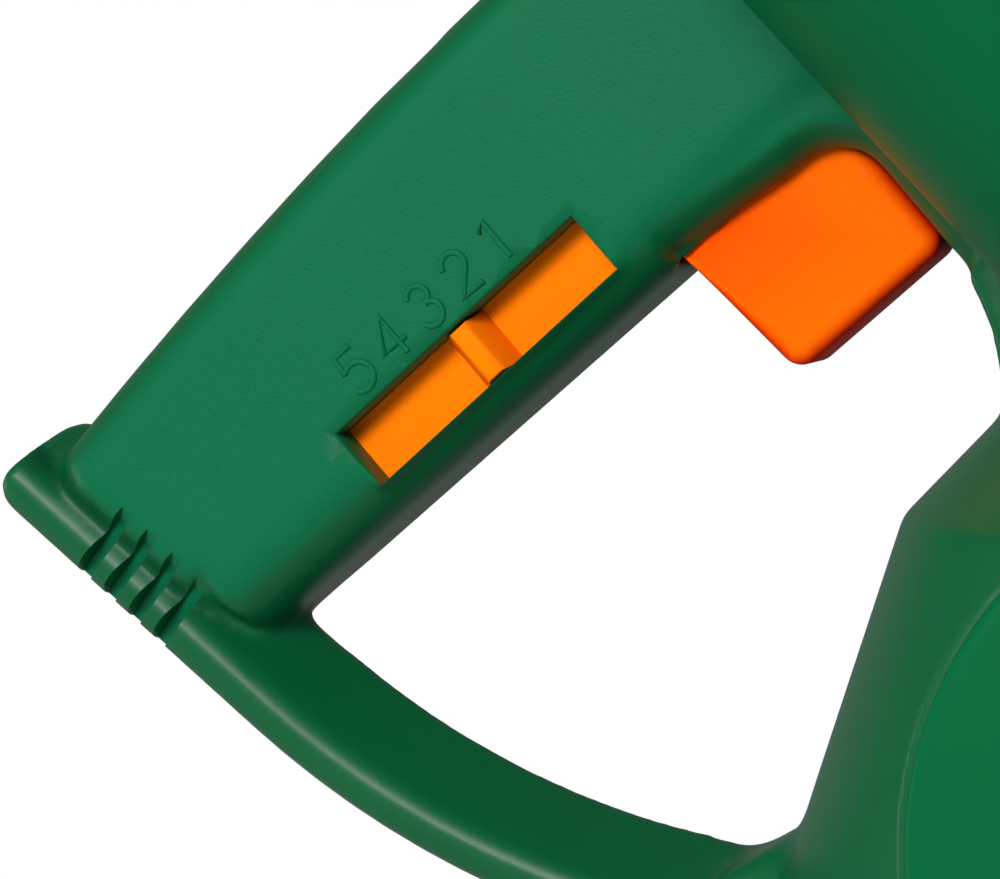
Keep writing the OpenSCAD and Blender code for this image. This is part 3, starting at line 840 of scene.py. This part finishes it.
    def _brow(self, side: int) -> bmesh.types.BMesh:
        """What the rounding of the opening's edge takes off one side."""
        face = self.handle.grip_w / 2
        deep, far = self.brow_deep, face - self.slot - 0.3
        curve = [(-deep + deep * c, face - far + far * d) for c, d in arc((0, 0), 1.0, 0, 90, 8)]
        return self._opening(side, [(1.5, face - far), *curve, (-deep, face + 2.0), (1.5, face + 2.0)])

    @staticmethod
    def _hopper_room() -> bmesh.types.BMesh:
        """The room behind the hopper's rear wall."""
        foot, shoulder, above, half = (-38.0, 146.0), (-96.7, 212.0), 300.0, 60.0
        bm = outline([foot, shoulder, (shoulder[0], above), (0.0, above), (0.0, foot[1])])
        thicken(bm, -half, half)
        return bm

    @staticmethod
    def _corners(side: int) -> list[bmesh.types.BMesh]:
        """Fills of one side: the corner under the hopper, and the one between bar and bell."""
        neck = [(-54.4, 157.3), (-53.2, 154.6), (-50.9, 150.7), (-49.2, 147), (-47.5, 138)]
        neck += [(-42, 138), (-42, 160)]
        foot = [(-87.0, 71.6), (-78.2, 77.0), (-74.0, 77.0), (-74.0, 66.0), (-87.0, 66.0)]
        found = []
        for points, low, high in ((neck, 8.3, 15), (foot, 0, 13)):
            bm = outline(points)
            thicken(bm, *sorted((low * side, high * side)))
            found.append(bm)
        return found

    def _cutters(self, side: int) -> list[bmesh.types.BMesh]:
        """The grooves of one side, and the window on the right."""
        h = self.handle
        first = self.groove_first + self.groove_w / 2
        found = [self._groove(first + i * self.groove_pitch, side) for i in range(self.groove_n)]
        if side > 0:
            return found
        x, z, face = h.win_len / 2, h.win_w / 2, -h.grip_w / 2
        rim = [(sx * x, face + self.flare, sz * z) for sx in (-1, 1) for sz in (-1, 1)]
        grown = self.flare * 1.4
        mouth = [(sx * (x + grown), face - 0.3, sz * (z + grown)) for sx in (-1, 1) for sz in (-1, 1)]
        for shape in (block((-x, face - 1, -z), (x, face + h.win_depth + 1, z)), solid(rim + mouth)):
            shape.transform(h.window())
            found.append(shape)
        return found

    def _groove(self, middle: float, side: int) -> bmesh.types.BMesh:
        """One groove: its floor rises from the band's outer edge to the side face."""
        points = []
        start, end = -1.0, self.groove_end
        top = self.handle.grip_w / 2 + 0.3
        for z, floor in ((start, self._floor(start)), (end, self._floor(end)), (end + 3.0, top)):
            for y, half in ((floor, 0.36 * self.groove_w), (floor + 6.0, 0.75 * self.groove_w)):
                points += [(middle - half, side * y, z), (middle + half, side * y, z)]
        bm = solid(points)
        bm.transform(self.handle.band())
        return bm

    def _floor(self, z: float) -> float:
        """How far out a groove's floor is, at a depth into the band."""
        return self.groove_y + self.groove_rise * z

    def _smooth(self, obj: bpy.types.Object) -> None:
        """Evens the skin, and draws out the wide fillets."""
        bm = bmesh.new()
        bm.from_mesh(obj.data)
        axes = {"use_axis_x": True, "use_axis_y": True, "use_axis_z": True}
        for _ in range(self.passes):
            bmesh.ops.smooth_vert(bm, verts=bm.verts, factor=0.5, **axes)
        for x, z, reach, passes in self.fillets():
            for share in (1.0, 0.8, 0.6):
                near = [
                    v
                    for v in bm.verts
                    if math.hypot(v.co.x / MM - SPINNER.x - x, v.co.z / MM - z) < reach * share
                ]
                for _ in range(passes // 3):
                    bmesh.ops.smooth_vert(bm, verts=near, factor=0.5, **axes)
        bm.to_mesh(obj.data)
        bm.free()

    def _grain_and_valley_shade(self, obj: bpy.types.Object) -> None:
        """Stores where the mould was grained, on flat sides and in grooves, and the painted shade that
        darkens the bottom of the rear valley.
        """
        to_band = self.handle.band().inverted()
        shade = obj.data.attributes.new("shade", "FLOAT", "POINT")
        grain = obj.data.attributes.new("grain", "FLOAT", "POINT")
        for grained, dark, vert in zip(grain.data, shade.data, obj.data.vertices):
            place = vert.co / MM - SPINNER
            x, y, z = to_band @ place
            if place.x < self.grip_front and abs(place.y) > self.grip_face:
                grained.value = max(0.0, abs(vert.normal.y) - self.grain_from) / (1.0 - self.grain_from)
            elif self._on_groove_floor(x, abs(y), z):
                grained.value = 1.0
            # painted shade along the bottom of the rear valley, fading out towards its front end
            elif x < self.valley_x and abs(y) > self.valley_y:
                across = max(0.0, 1.0 - abs(z - self.valley_z) / self.valley_w)
                dark.value = across * min(1.0, (self.valley_x - x) / self.valley_fade)

    def _on_groove_floor(self, x: float, y: float, z: float, slack: float = 0.1) -> bool:
        """True if a point of the band's frame lies on the floor of a groove."""
        groove, past = divmod(x - self.groove_first, self.groove_pitch)
        inside = 0 <= groove < self.groove_n and past < self.groove_w
        return inside and z < self.groove_end + slack and abs(y - self._floor(z)) < slack


@dataclass
class Trigger:
    """The orange squeeze block under the handle."""

    shop: Workshop
    handle: Handle
    width: float = 15.0
    rear: float = 40.4
    front: float = 69.4
    tip: float = -21.4
    top: float = 14.0
    lean: float = 2.0
    corner: float = 2.8
    edge: float = 2.6
    link_x: float = 73.3
    foot_x: float = 37.0
    foot_z: float = 2.9
    foot_h: float = 5.0

    def build(self) -> None:
        """Makes the block, with rounded finger edges."""
        low_rear = (self.rear + self.lean, self.tip)
        low_front = (self.front, self.tip)
        bm = outline(
            [
                (self.rear, self.top),
                (self.rear, self.foot_z + self.foot_h),
                (self.foot_x, self.foot_z + self.foot_h),
                (self.foot_x, self.foot_z),
                (self.rear, self.foot_z),
                low_rear,
                low_front,
                (self.front, self.foot_z),
                (self.link_x, self.foot_z),
                (self.link_x, self.top),
            ]
        )
        thicken(bm, -self.width / 2, self.width / 2)
        soften(bm, self._across(bm), self.corner, 8)
        soften(bm, self._rims(bm), self.edge, 6)
        bm.transform(self.handle.under())
        piece = self.shop.piece("trigger_block", bm, Finish.TRIGGER, "trigger", ["trigger"], 50.0)
        # Grain on the side faces, and painted shade: where this is low, on the rims and the faces turned
        # away from the sides, the colour goes to the darker red
        layer = piece.data.attributes.new("grain", "FLOAT", "POINT")
        for point, vert in zip(layer.data, piece.data.vertices):
            point.value = max(0.0, abs(vert.normal.y) - 0.4) / 0.6

    def _across(self, bm: bmesh.types.BMesh) -> list[bmesh.types.BMEdge]:
        """The two lower edges that run across the block."""
        across = [e for e in bm.edges if self._is_across(e)]
        return [e for e in across if all(abs(v.co.z - self.tip) < 0.1 for v in e.verts)]

    @staticmethod
    def _is_across(edge: bmesh.types.BMEdge) -> bool:
        """True if an edge runs along Y."""
        return abs(edge.verts[0].co.y - edge.verts[1].co.y) > 1.0

    def _rims(self, bm: bmesh.types.BMesh) -> list[bmesh.types.BMEdge]:
        """The edges of both side faces, below the handle."""
        found = []
        for e in bm.edges:
            if all(v.co.z < self.foot_z + 0.1 for v in e.verts) and not self._is_across(e):
                if all(abs(abs(v.co.y) - self.width / 2) < 0.01 for v in e.verts):
                    if all(v.co.x > self.rear - 0.5 for v in e.verts):
                        found.append(e)
        return found


@dataclass
class RateSlide:
    """The orange slide in the window, and the digits moulded beside it."""

    shop: Workshop
    handle: Handle
    pitch: float = 6.77
    gap: float = 0.2
    thick: float = 1.8
    low: float = 5.0
    high: float = 6.5
    rear_room: float = 45.5
    front_room: float = 50.0
    ridge_h: float = 5.4
    ridge_base: float = 6.6
    ridge_top: float = 2.6
    digit_rise: float = 9.5
    digit_shift: float = -1.1
    stroke_r: float = 0.52
    stroke_sunk: float = 0.17

    def build(self) -> None:
        """Makes the slide and the five digits."""
        self._slide()
        for i, (digit, path) in enumerate(self._strokes().items()):
            self._digit(digit, path, (i - 2) * self.pitch + self.digit_shift)

    def _slide(self) -> None:
        """A plate with a finger ridge."""
        face = -self.handle.grip_w / 2 + self.handle.win_depth + self.gap
        rear, front = self.rear_room - 2 * self.pitch, self.front_room - 2 * self.pitch
        bm = block((-rear, face, -self.low), (front, face + self.thick, self.high))
        half = self.handle.win_w / 2 - 0.4
        ridge = bmesh.new()
        corners = [
            (-self.ridge_base / 2, face + 0.5),
            (-self.ridge_base / 2, face),
            (-self.ridge_top / 2, face - self.ridge_h),
            (self.ridge_top / 2, face - self.ridge_h),
            (self.ridge_base / 2, face),
            (self.ridge_base / 2, face + 0.5),
        ]
        ridge.faces.new([ridge.verts.new((x, y, -half)) for x, y in corners])
        extrude(ridge, Vector((0, 0, 2 * half)))
        crest = [e for e in ridge.edges if all(v.co.y < face - self.ridge_h + 0.1 for v in e.verts)]
        soften(ridge, crest, 0.7, 5)
        join(bm, ridge)
        bm.transform(self.handle.window())
        self.shop.piece("rate_slide", bm, Finish.SLIDE, "slider", ["rate_slider"], 35.0)

    @staticmethod
    def _strokes() -> dict[str, list[tuple[float, float]]]:
        """The line of each digit, about its middle, from the rear to the front."""
        return {
            "5": [(1.7, 3.1), (-1.2, 3.1), (-1.5, 0.4)] + arc((0, -1.1), 2.1, 130, -140, 12),
            "4": [(0.8, -3.1), (0.8, 3.1), (-2.0, -1.3), (2.0, -1.3)],
            "3": arc((0, 1.55), 1.55, 160, -80, 10) + arc((0, -1.4), 1.75, 80, -160, 12),
            "2": arc((0, 1.4), 1.75, 170, -35, 10) + [(-1.9, -3.1), (1.9, -3.1)],
            "1": [(-1.2, 2.1), (0.2, 3.1), (0.2, -3.1)],
        }

    def _digit(self, digit: str, path: Sequence[tuple[float, float]], shift: float) -> None:
        """One digit, as a rounded line a little proud of the side face."""
        points = [Vector((x, y, -self.stroke_sunk)) for x, y in path]
        bm = along(points, Vector((0, 0, 1)), arc((0, 0), self.stroke_r, 0, 330, 11))
        face = at(shift, -self.handle.grip_w / 2, self.digit_rise)
        bm.transform(self.handle.window() @ face @ facing_right())
        piece = self.shop.piece("digit_" + digit, bm, Finish.SHELL, "body")
        layer = piece.data.attributes.new("grain", "FLOAT", "POINT")
        for point in layer.data:
            point.value = 1.0


@dataclass
class Hopper:
    """The open bin, with a sloped funnel, upright walls and a rolled rim."""

    shop: Workshop
    floor: tuple[float, float, float] = (75.2, 112.0, 30.0)
    mouth: tuple[float, float, float] = (192.6, 170.0, 40.0)
    floor_z: float = 146.0
    shoulder_z: float = 212.0
    top: float = 268.0
    wall: float = 2.4
    lip: float = 3.0
    lip_t: float = 4.0
    corner_steps: int = 14
    boss_x: float = 22.0
    boss_y: float = 34.0
    boss_r: float = 4.6
    boss_h: float = 10.0
    hub_r: float = 7.5
    bore_r: float = 5.0
    outlet: tuple[float, float, float, float] = (21.0, 30.0, -4.0, 13.0)

    def build(self) -> None:
        """Makes the bin."""
        bm = loft([self._stations(*level) for level in self._levels()])
        x0, x1, y0, y1 = self.outlet
        cut = block((x0, y0, self.floor_z - 1), (x1, y1, self.floor_z + 5))
        rod = [(0.001, 0), (self.bore_r, 0), (self.bore_r, 12), (0.001, 12)]
        bore = turned(rod, at(0, 0, self.floor_z - 1), 32)
        self.shop.piece("hopper_bin", bm, Finish.SMOOTH, "body", ["hopper"], 45.0, [cut, bore])
        self._bosses()

    def _bosses(self) -> None:
        """The bearing boss and the four screw bosses on the floor."""
        z = self.floor_z + self.wall - 0.1
        h = self.boss_h - self.wall
        r = self.hub_r
        ring = [(self.bore_r, 0), (r, 0), (r, h - 0.6), (r - 0.6, h), (self.bore_r, h)]
        self.shop.piece("hopper_hub", turned(ring, at(0, 0, z), 48), Finish.SMOOTH, "body")
        stud = [(0.0, 0), (self.boss_r, 0), (self.boss_r, h - 0.6), (self.boss_r - 0.6, h), (0.0, h)]
        for x in (-self.boss_x, self.boss_x):
            for y in (-self.boss_y, self.boss_y):
                name = f"hopper_boss_{'r' if y < 0 else 'l'}{'r' if x < 0 else 'f'}"
                self.shop.piece(name, turned(stud, at(x, y, z), 32), Finish.SMOOTH, "body")

    def _levels(self) -> list[tuple[float, float, float]]:
        """The bin's outline from its floor to its rim and down inside: share, inset, z."""
        low, mid, high = self.floor_z, self.shoulder_z, self.top
        lean = 1 / (mid - low)
        steps = [i / 6 for i in range(7)]

        def curve(a: tuple, b: tuple, c: tuple) -> list[tuple[float, float, float]]:
            """A soft bend through three levels."""
            return [
                tuple((1 - t) ** 2 * p + 2 * t * (1 - t) * q + t * t * r for p, q, r in zip(a, b, c))
                for t in steps
            ]

        outer = [(0.0, 6.0, low)]
        outer += curve((0.0, 3.0, low), (0.0, 0.0, low), (3 * lean, 0.0, low + 3))
        outer += curve((1 - 12 * lean, 0.0, mid - 12), (1.0, 0.0, mid), (1.0, 0.0, mid + 13))
        lip_low, out = high - self.lip_t, -self.lip
        rim = [(1.0, 0.0, lip_low - 0.8), (1.0, -0.4, lip_low), (1.0, out + 0.6, lip_low)]
        rim += curve((1.0, out + 0.6, lip_low), (1.0, out, lip_low), (1.0, out, lip_low + 0.8))[1:]
        rim += curve((1.0, out, high - 1.2), (1.0, out, high), (1.0, out + 1.2, high))
        rim += curve((1.0, self.wall - 1, high), (1.0, self.wall, high), (1.0, self.wall, high - 1))
        inner = [(share, inset + self.wall, max(z, low + self.wall)) for share, inset, z in reversed(outer)]
        return outer + rim + inner

    def _stations(self, share: float, inset: float, z: float) -> list[Vector]:
        """Points round the bin at one level.

        Args:
            share: 0 at the floor's outline, 1 at the mouth's.
            inset: how far inside that outline, in millimetres.
            z: the level's height.

        Returns:
            The points, corner by corner.
        """
        length, width, radius = (a + (b - a) * share for a, b in zip(self.floor, self.mouth))
        radius = max(radius - inset, 1.0)
        points = []
        for corner, (sx, sy) in enumerate([(1, 1), (-1, 1), (-1, -1), (1, -1)]):
            cx = sx * (length / 2 - inset - radius)
            cy = sy * (width / 2 - inset - radius)
            for i in range(self.corner_steps + 1):
                a = math.radians(90 * corner + 90 * i / self.corner_steps)
                points.append(Vector((cx + radius * math.cos(a), cy + radius * math.sin(a), z)))
        return points


@dataclass
class GearCover:
    """The round cover of the gear case."""

    shop: Workshop
    crank_z: float = 88.0
    case_y: float = -80.0
    radius: float = 47.6
    thick: float = 2.5
    edge: float = 1.6
    hub_r: float = 10.0
    hub: float = 8.0
    hub_in: float = 22.0
    bore: float = 6.0

    def build(self) -> None:
        """Makes the cover with its long hub."""
        t, r = self.thick, self.radius
        profile = [(self.bore, -self.hub_in), (self.hub_r, -self.hub_in), (self.hub_r, 0.0), (r, 0.0)]
        profile += arc((r - self.edge, t - self.edge), self.edge, 0, 90, 6)
        profile += arc((self.hub_r + 2.0, t + 2.0), 2.0, 270, 180, 6)
        profile += arc((self.hub_r - self.edge, self.hub - self.edge), self.edge, 0, 90, 5)
        profile += [(self.bore, self.hub)]
        place = at(0, self.case_y, self.crank_z) @ facing_right()
        lid = turned(profile, place)
        self.shop.piece("gear_case_cover", lid, Finish.SMOOTH, "body", ["gear_cover"], 50.0)


@dataclass
class Spring:
    """The wire spring above the trigger."""

    shop: Workshop
    handle: Handle
    along: float = 55.0
    low: float = 14.0
    high: float = 42.0
    radius: float = 5.0
    wire: float = 0.6
    turns: int = 6
    kept: float = 0.5

    def build(self) -> None:
        """Winds the wire at one length; the real spring shortens as the trigger is pulled."""
        steps = 24 * self.turns
        rise = (self.high - self.low - 2 * self.wire) / steps
        bm = bmesh.new()
        start = at(self.radius, 0, 0) @ Matrix.Rotation(math.radians(90), 4, "X")
        bmesh.ops.create_circle(bm, cap_ends=True, segments=10, radius=self.wire, matrix=start)
        bmesh.ops.spin(
            bm,
            geom=[*bm.verts, *bm.edges, *bm.faces],
            cent=(0, 0, 0),
            axis=(0, 0, 1),
            dvec=(0, 0, rise),
            angle=2 * math.pi * self.turns,
            steps=steps,
        )
        place = self.handle.under()
        bm.transform(place @ at(self.along, 0, self.low + self.wire))
        piece = self.shop.piece("spring_wire", bm, Finish.STEEL, "body", ["trigger_spring"])
        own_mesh(piece)


@dataclass
class Screws:
    """Cross-head screws in the body's left side and in the gear cover."""

    shop: Workshop
    handle: Handle
    head_r: float = 3.0
    head_t: float = 2.2
    shank_r: float = 1.5
    slot: float = 0.45
    slot_len: float = 1.9
    slot_deep: float = 1.1
    cover_r: float = 42.1
    cover_z: float = 88.0
    cover_y: float = -82.5

    def build(self) -> None:
        """Makes both sets."""
        left = Matrix.Rotation(math.radians(-90), 4, "X")
        grip = self.handle.grip()
        heads = [grip @ at(-35.6, 10, 2.4), grip @ at(31.2, 10, 1.1)]
        bar_x, bar_z = self.handle.on_bar(246.4)
        heads += [at(x, 8, z) for x, z in ((bar_x, bar_z), (-62, 45), (62, 45), (55, 118))]
        self._set("body_screws", [at(*head.translation) @ left for head in heads], 15.0)
        posts = arc((0, self.cover_z), self.cover_r, 45, 315, 3)
        self._set("cover_screws", [at(x, self.cover_y, z) @ facing_right() for x, z in posts], 15.0)

    def _set(self, node: str, places: Sequence[Matrix], length: float) -> None:
        """One node's screws, as one piece.

        Args:
            node: the CAD node.
            places: where each head's seat is, with z out of the head.
            length: the shank's length.
        """
        r, t = self.head_r, self.head_t
        shank = self.shank_r
        profile = [(0.0, -length), (shank - 0.5, -length), (shank, 1 - length), (shank, 0)]
        profile += [(r, 0), (r, t - 1.2)] + arc((r - 1.2, t - 1.2), 1.2, 15, 90, 5) + [(0.0, t)]
        bm = bmesh.new()
        cutters = []
        for place in places:
            join(bm, turned(profile, place, 24))
            cutters.append(self._cross(place))
        self.shop.piece(node + "_heads", bm, Finish.STEEL, "body", [node], 35.0, cutters)

    def _cross(self, place: Matrix) -> bmesh.types.BMesh:
        """The cross-shaped recess of one head."""
        a, b = self.slot, self.slot_len
        corner = [(a, a), (b, a), (b, -a)]
        points = []
        for cos, sin in ((1, 0), (0, -1), (-1, 0), (0, 1)):
            points += [(x * cos - y * sin, x * sin + y * cos) for x, y in corner]
        bm = bmesh.new()
        bm.faces.new([bm.verts.new((x, y, self.head_t - self.slot_deep)) for x, y in points])
        extrude(bm, Vector((0, 0, self.slot_deep + 1)))
        bm.transform(place)
        return bm


@dataclass
class Drive:
    """Pieces that need no more than a copy of their solid with its edges rounded."""

    shop: Workshop
    flat_deg: float = 1.0
    sharp_deg: float = 50.0

    def build(self) -> None:
        """Rounds a copy of each piece."""
        for node, body, finish, radius in self._pieces():
            self._rounded(node, body, finish, radius)

    @staticmethod
    def _pieces() -> list[tuple[str, str, Finish, float]]:
        """Each piece's node, body, finish and edge radius in millimetres."""
        return [
            ("crank_arm", "crank", Finish.SMOOTH, 1.0),
            ("crank_screw", "crank", Finish.STEEL, 0.7),
            ("crank_knob", "knob", Finish.ORANGE, 0.8),
            ("knob_pin", "crank", Finish.STEEL, 0.6),
            ("spinner_plate", "spinner", Finish.SMOOTH, 0.4),
            ("agitator", "spinner", Finish.STEEL, 0.4),
            ("shaft_clip", "spinner", Finish.STEEL, 0.4),
            ("gear_floor", "body", Finish.DEEP, 0.5),
            ("drop_chute", "body", Finish.DEEP, 0.4),
            ("flow_gate", "gate", Finish.STEEL, 0.3),
            ("upper_bush", "body", Finish.NYLON, 0.3),
            ("crank_bush", "body", Finish.NYLON, 0.4),
        ]

    def _rounded(self, node: str, body: str, finish: Finish, radius: float) -> None:
        """Rounds one piece's edges."""
        bm = bmesh.new()
        bm.from_mesh(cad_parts[node].data)
        bmesh.ops.remove_doubles(bm, verts=bm.verts, dist=1e-6)
        flat = math.radians(self.flat_deg)
        bmesh.ops.dissolve_limit(bm, angle_limit=flat, verts=bm.verts, edges=bm.edges)
        turn = math.radians(self.sharp_deg)
        sharp = [e for e in bm.edges if len(e.link_faces) == 2 and e.calc_face_angle() > turn]
        soften(bm, sharp, radius * MM, 3)
        self.shop.piece(node + "_rounded", bm, finish, body, [node], 40.0, (), True)


@dataclass
class Studio:
    """Camera, floor and light."""

    turn: float = 16.0
    tilt: float = 4.0
    distance: float = 650.0
    target: tuple[float, float, float] = (-121.0, 0.0, 130.0)
    scale: float = 0.14
    picture_w: int = 1000
    sensor: float = 36.0
    floor_r: float = 380.0
    backdrop: float = 0.3
    front: float = 0.2

    def build(self) -> None:
        """Sets up the whole stage."""
        self._axes()
        self._camera()
        self._floor()
        self._lights()
        self._world()

    def _axes(self) -> None:
        """The camera's own axes."""
        a, e = math.radians(self.turn), math.radians(self.tilt)
        self.back = Vector((math.sin(a) * math.cos(e), -math.cos(a) * math.cos(e), math.sin(e)))
        self.right = Vector((math.cos(a), math.sin(a), 0.0))
        self.up = self.back.cross(self.right)

    def _spot(self, right: float, up: float, back: float) -> Vector:
        """A place round the target, in millimetres along the camera's axes."""
        return (Vector(self.target) + SPINNER + self.right * right + self.up * up + self.back * back) * MM

    def _camera(self) -> None:
        """The camera at the viewing angle."""
        data = bpy.data.cameras.new("camera")
        data.sensor_width = self.sensor
        data.lens = self.sensor * self.distance / (self.picture_w * self.scale)
        data.clip_start = 0.05
        obj = bpy.data.objects.new("camera", data)
        obj.location = self._spot(0, 0, self.distance)
        obj.rotation_mode = "QUATERNION"
        obj.rotation_quaternion = (-self.back).to_track_quat("-Z", "Y")
        bpy.context.scene.collection.objects.link(obj)
        bpy.context.scene.camera = obj

    def _floor(self) -> None:
        """A pale round floor under the object."""
        bm = bmesh.new()
        bmesh.ops.create_circle(bm, cap_ends=True, segments=96, radius=self.floor_r * MM)
        mesh = bpy.data.meshes.new("floor")
        bm.to_mesh(mesh)
        bm.free()
        skin = Skin("floor_pale")
        tone = skin.blend(skin.noise(80.0), (0.78, 0.78, 0.78), (0.84, 0.84, 0.84))
        mesh.materials.append(skin.finish({"Base Color": tone, "Roughness": 0.7}))
        obj = bpy.data.objects.new("floor", mesh)
        bpy.context.scene.collection.objects.link(obj)

    def _lights(self) -> None:
        """A soft box on the upper left, and a weak one from the left."""
        self._softbox("key", self._spot(-380, 330, 900), 360.0, 13.0)
        self._softbox("rim", self._spot(-900, -150, -150), 400.0, 2.0)

    def _softbox(self, name: str, place: Vector, size: float, watts: float) -> None:
        """One square soft light aimed at the target.

        Args:
            name: the light's name.
            place: where it stands, in metres.
            size: its side, in millimetres.
            watts: its power.
        """
        data = bpy.data.lights.new(name, "AREA")
        data.size = size * MM
        data.energy = watts
        obj = bpy.data.objects.new(name, data)
        obj.location = place
        aim = self._spot(0, 0, 0) - place
        obj.rotation_mode = "QUATERNION"
        obj.rotation_quaternion = aim.to_track_quat("-Z", "Y")
        bpy.context.scene.collection.objects.link(obj)

    def _world(self) -> None:
        """A white surround: bright behind the object, dim on the camera's side."""
        world = bpy.data.worlds.new("surround")
        world.use_nodes = True
        graph = Graph(world.node_tree)
        white = (1.0, 1.0, 1.0)
        way = graph.node("ShaderNodeNewGeometry", {}, {}).outputs["Incoming"]
        dot = graph.node("ShaderNodeVectorMath", {"operation": "DOT_PRODUCT"}, {0: way, 1: tuple(self.back)})
        behind = Value(graph, dot.outputs["Value"])
        light = behind * ((self.backdrop - self.front) / 2) + (self.backdrop + self.front) / 2
        felt = graph.node("ShaderNodeBackground", {}, {"Color": white, "Strength": light})
        seen = graph.node("ShaderNodeBackground", {}, {"Color": white, "Strength": 1.0})
        camera = graph.node("ShaderNodeLightPath", {}, {}).outputs["Is Camera Ray"]
        mix = graph.node("ShaderNodeMixShader", {}, {0: camera, 1: felt.outputs[0], 2: seen.outputs[0]})
        graph.node("ShaderNodeOutputWorld", {}, {"Surface": mix.outputs[0]})
        bpy.context.scene.world = world
        bpy.context.scene.view_settings.view_transform = "Standard"


def dress_inner(shop: Workshop) -> None:
    """Gives every CAD node that still shows its finish."""
    finishes = {
        Finish.SMOOTH: ["gear_cover", "hopper", "crank_arm", "spinner_plate"],
        Finish.SHELL: ["right_shell", "left_shell"],
        Finish.DEEP: ["gear_floor", "drop_chute"],
        Finish.TRIGGER: ["trigger"],
        Finish.ORANGE: ["crank_knob"],
        Finish.SLIDE: ["rate_slider"],
        Finish.NYLON: ["crank_gear", "pinion", "crank_bush", "upper_bush", "lower_bush"],
    }
    by_node = {name: finish for finish, names in finishes.items() for name in names}
    for name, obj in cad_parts.items():
        obj.data.materials.clear()
        obj.data.materials.append(shop.material(by_node.get(name, Finish.STEEL)))


def main() -> None:
    """Builds the studio and every piece."""
    logging.basicConfig(level=logging.INFO, format="%(message)s")
    shop = Workshop()
    handle = Handle()
    Studio().build()
    dress_inner(shop)
    Shells(shop, handle).build()
    Trigger(shop, handle).build()
    RateSlide(shop, handle).build()
    Hopper(shop).build()
    GearCover(shop).build()
    Spring(shop, handle).build()
    Screws(shop, handle).build()
    Drive(shop).build()


if __name__ == "__main__":
    main()
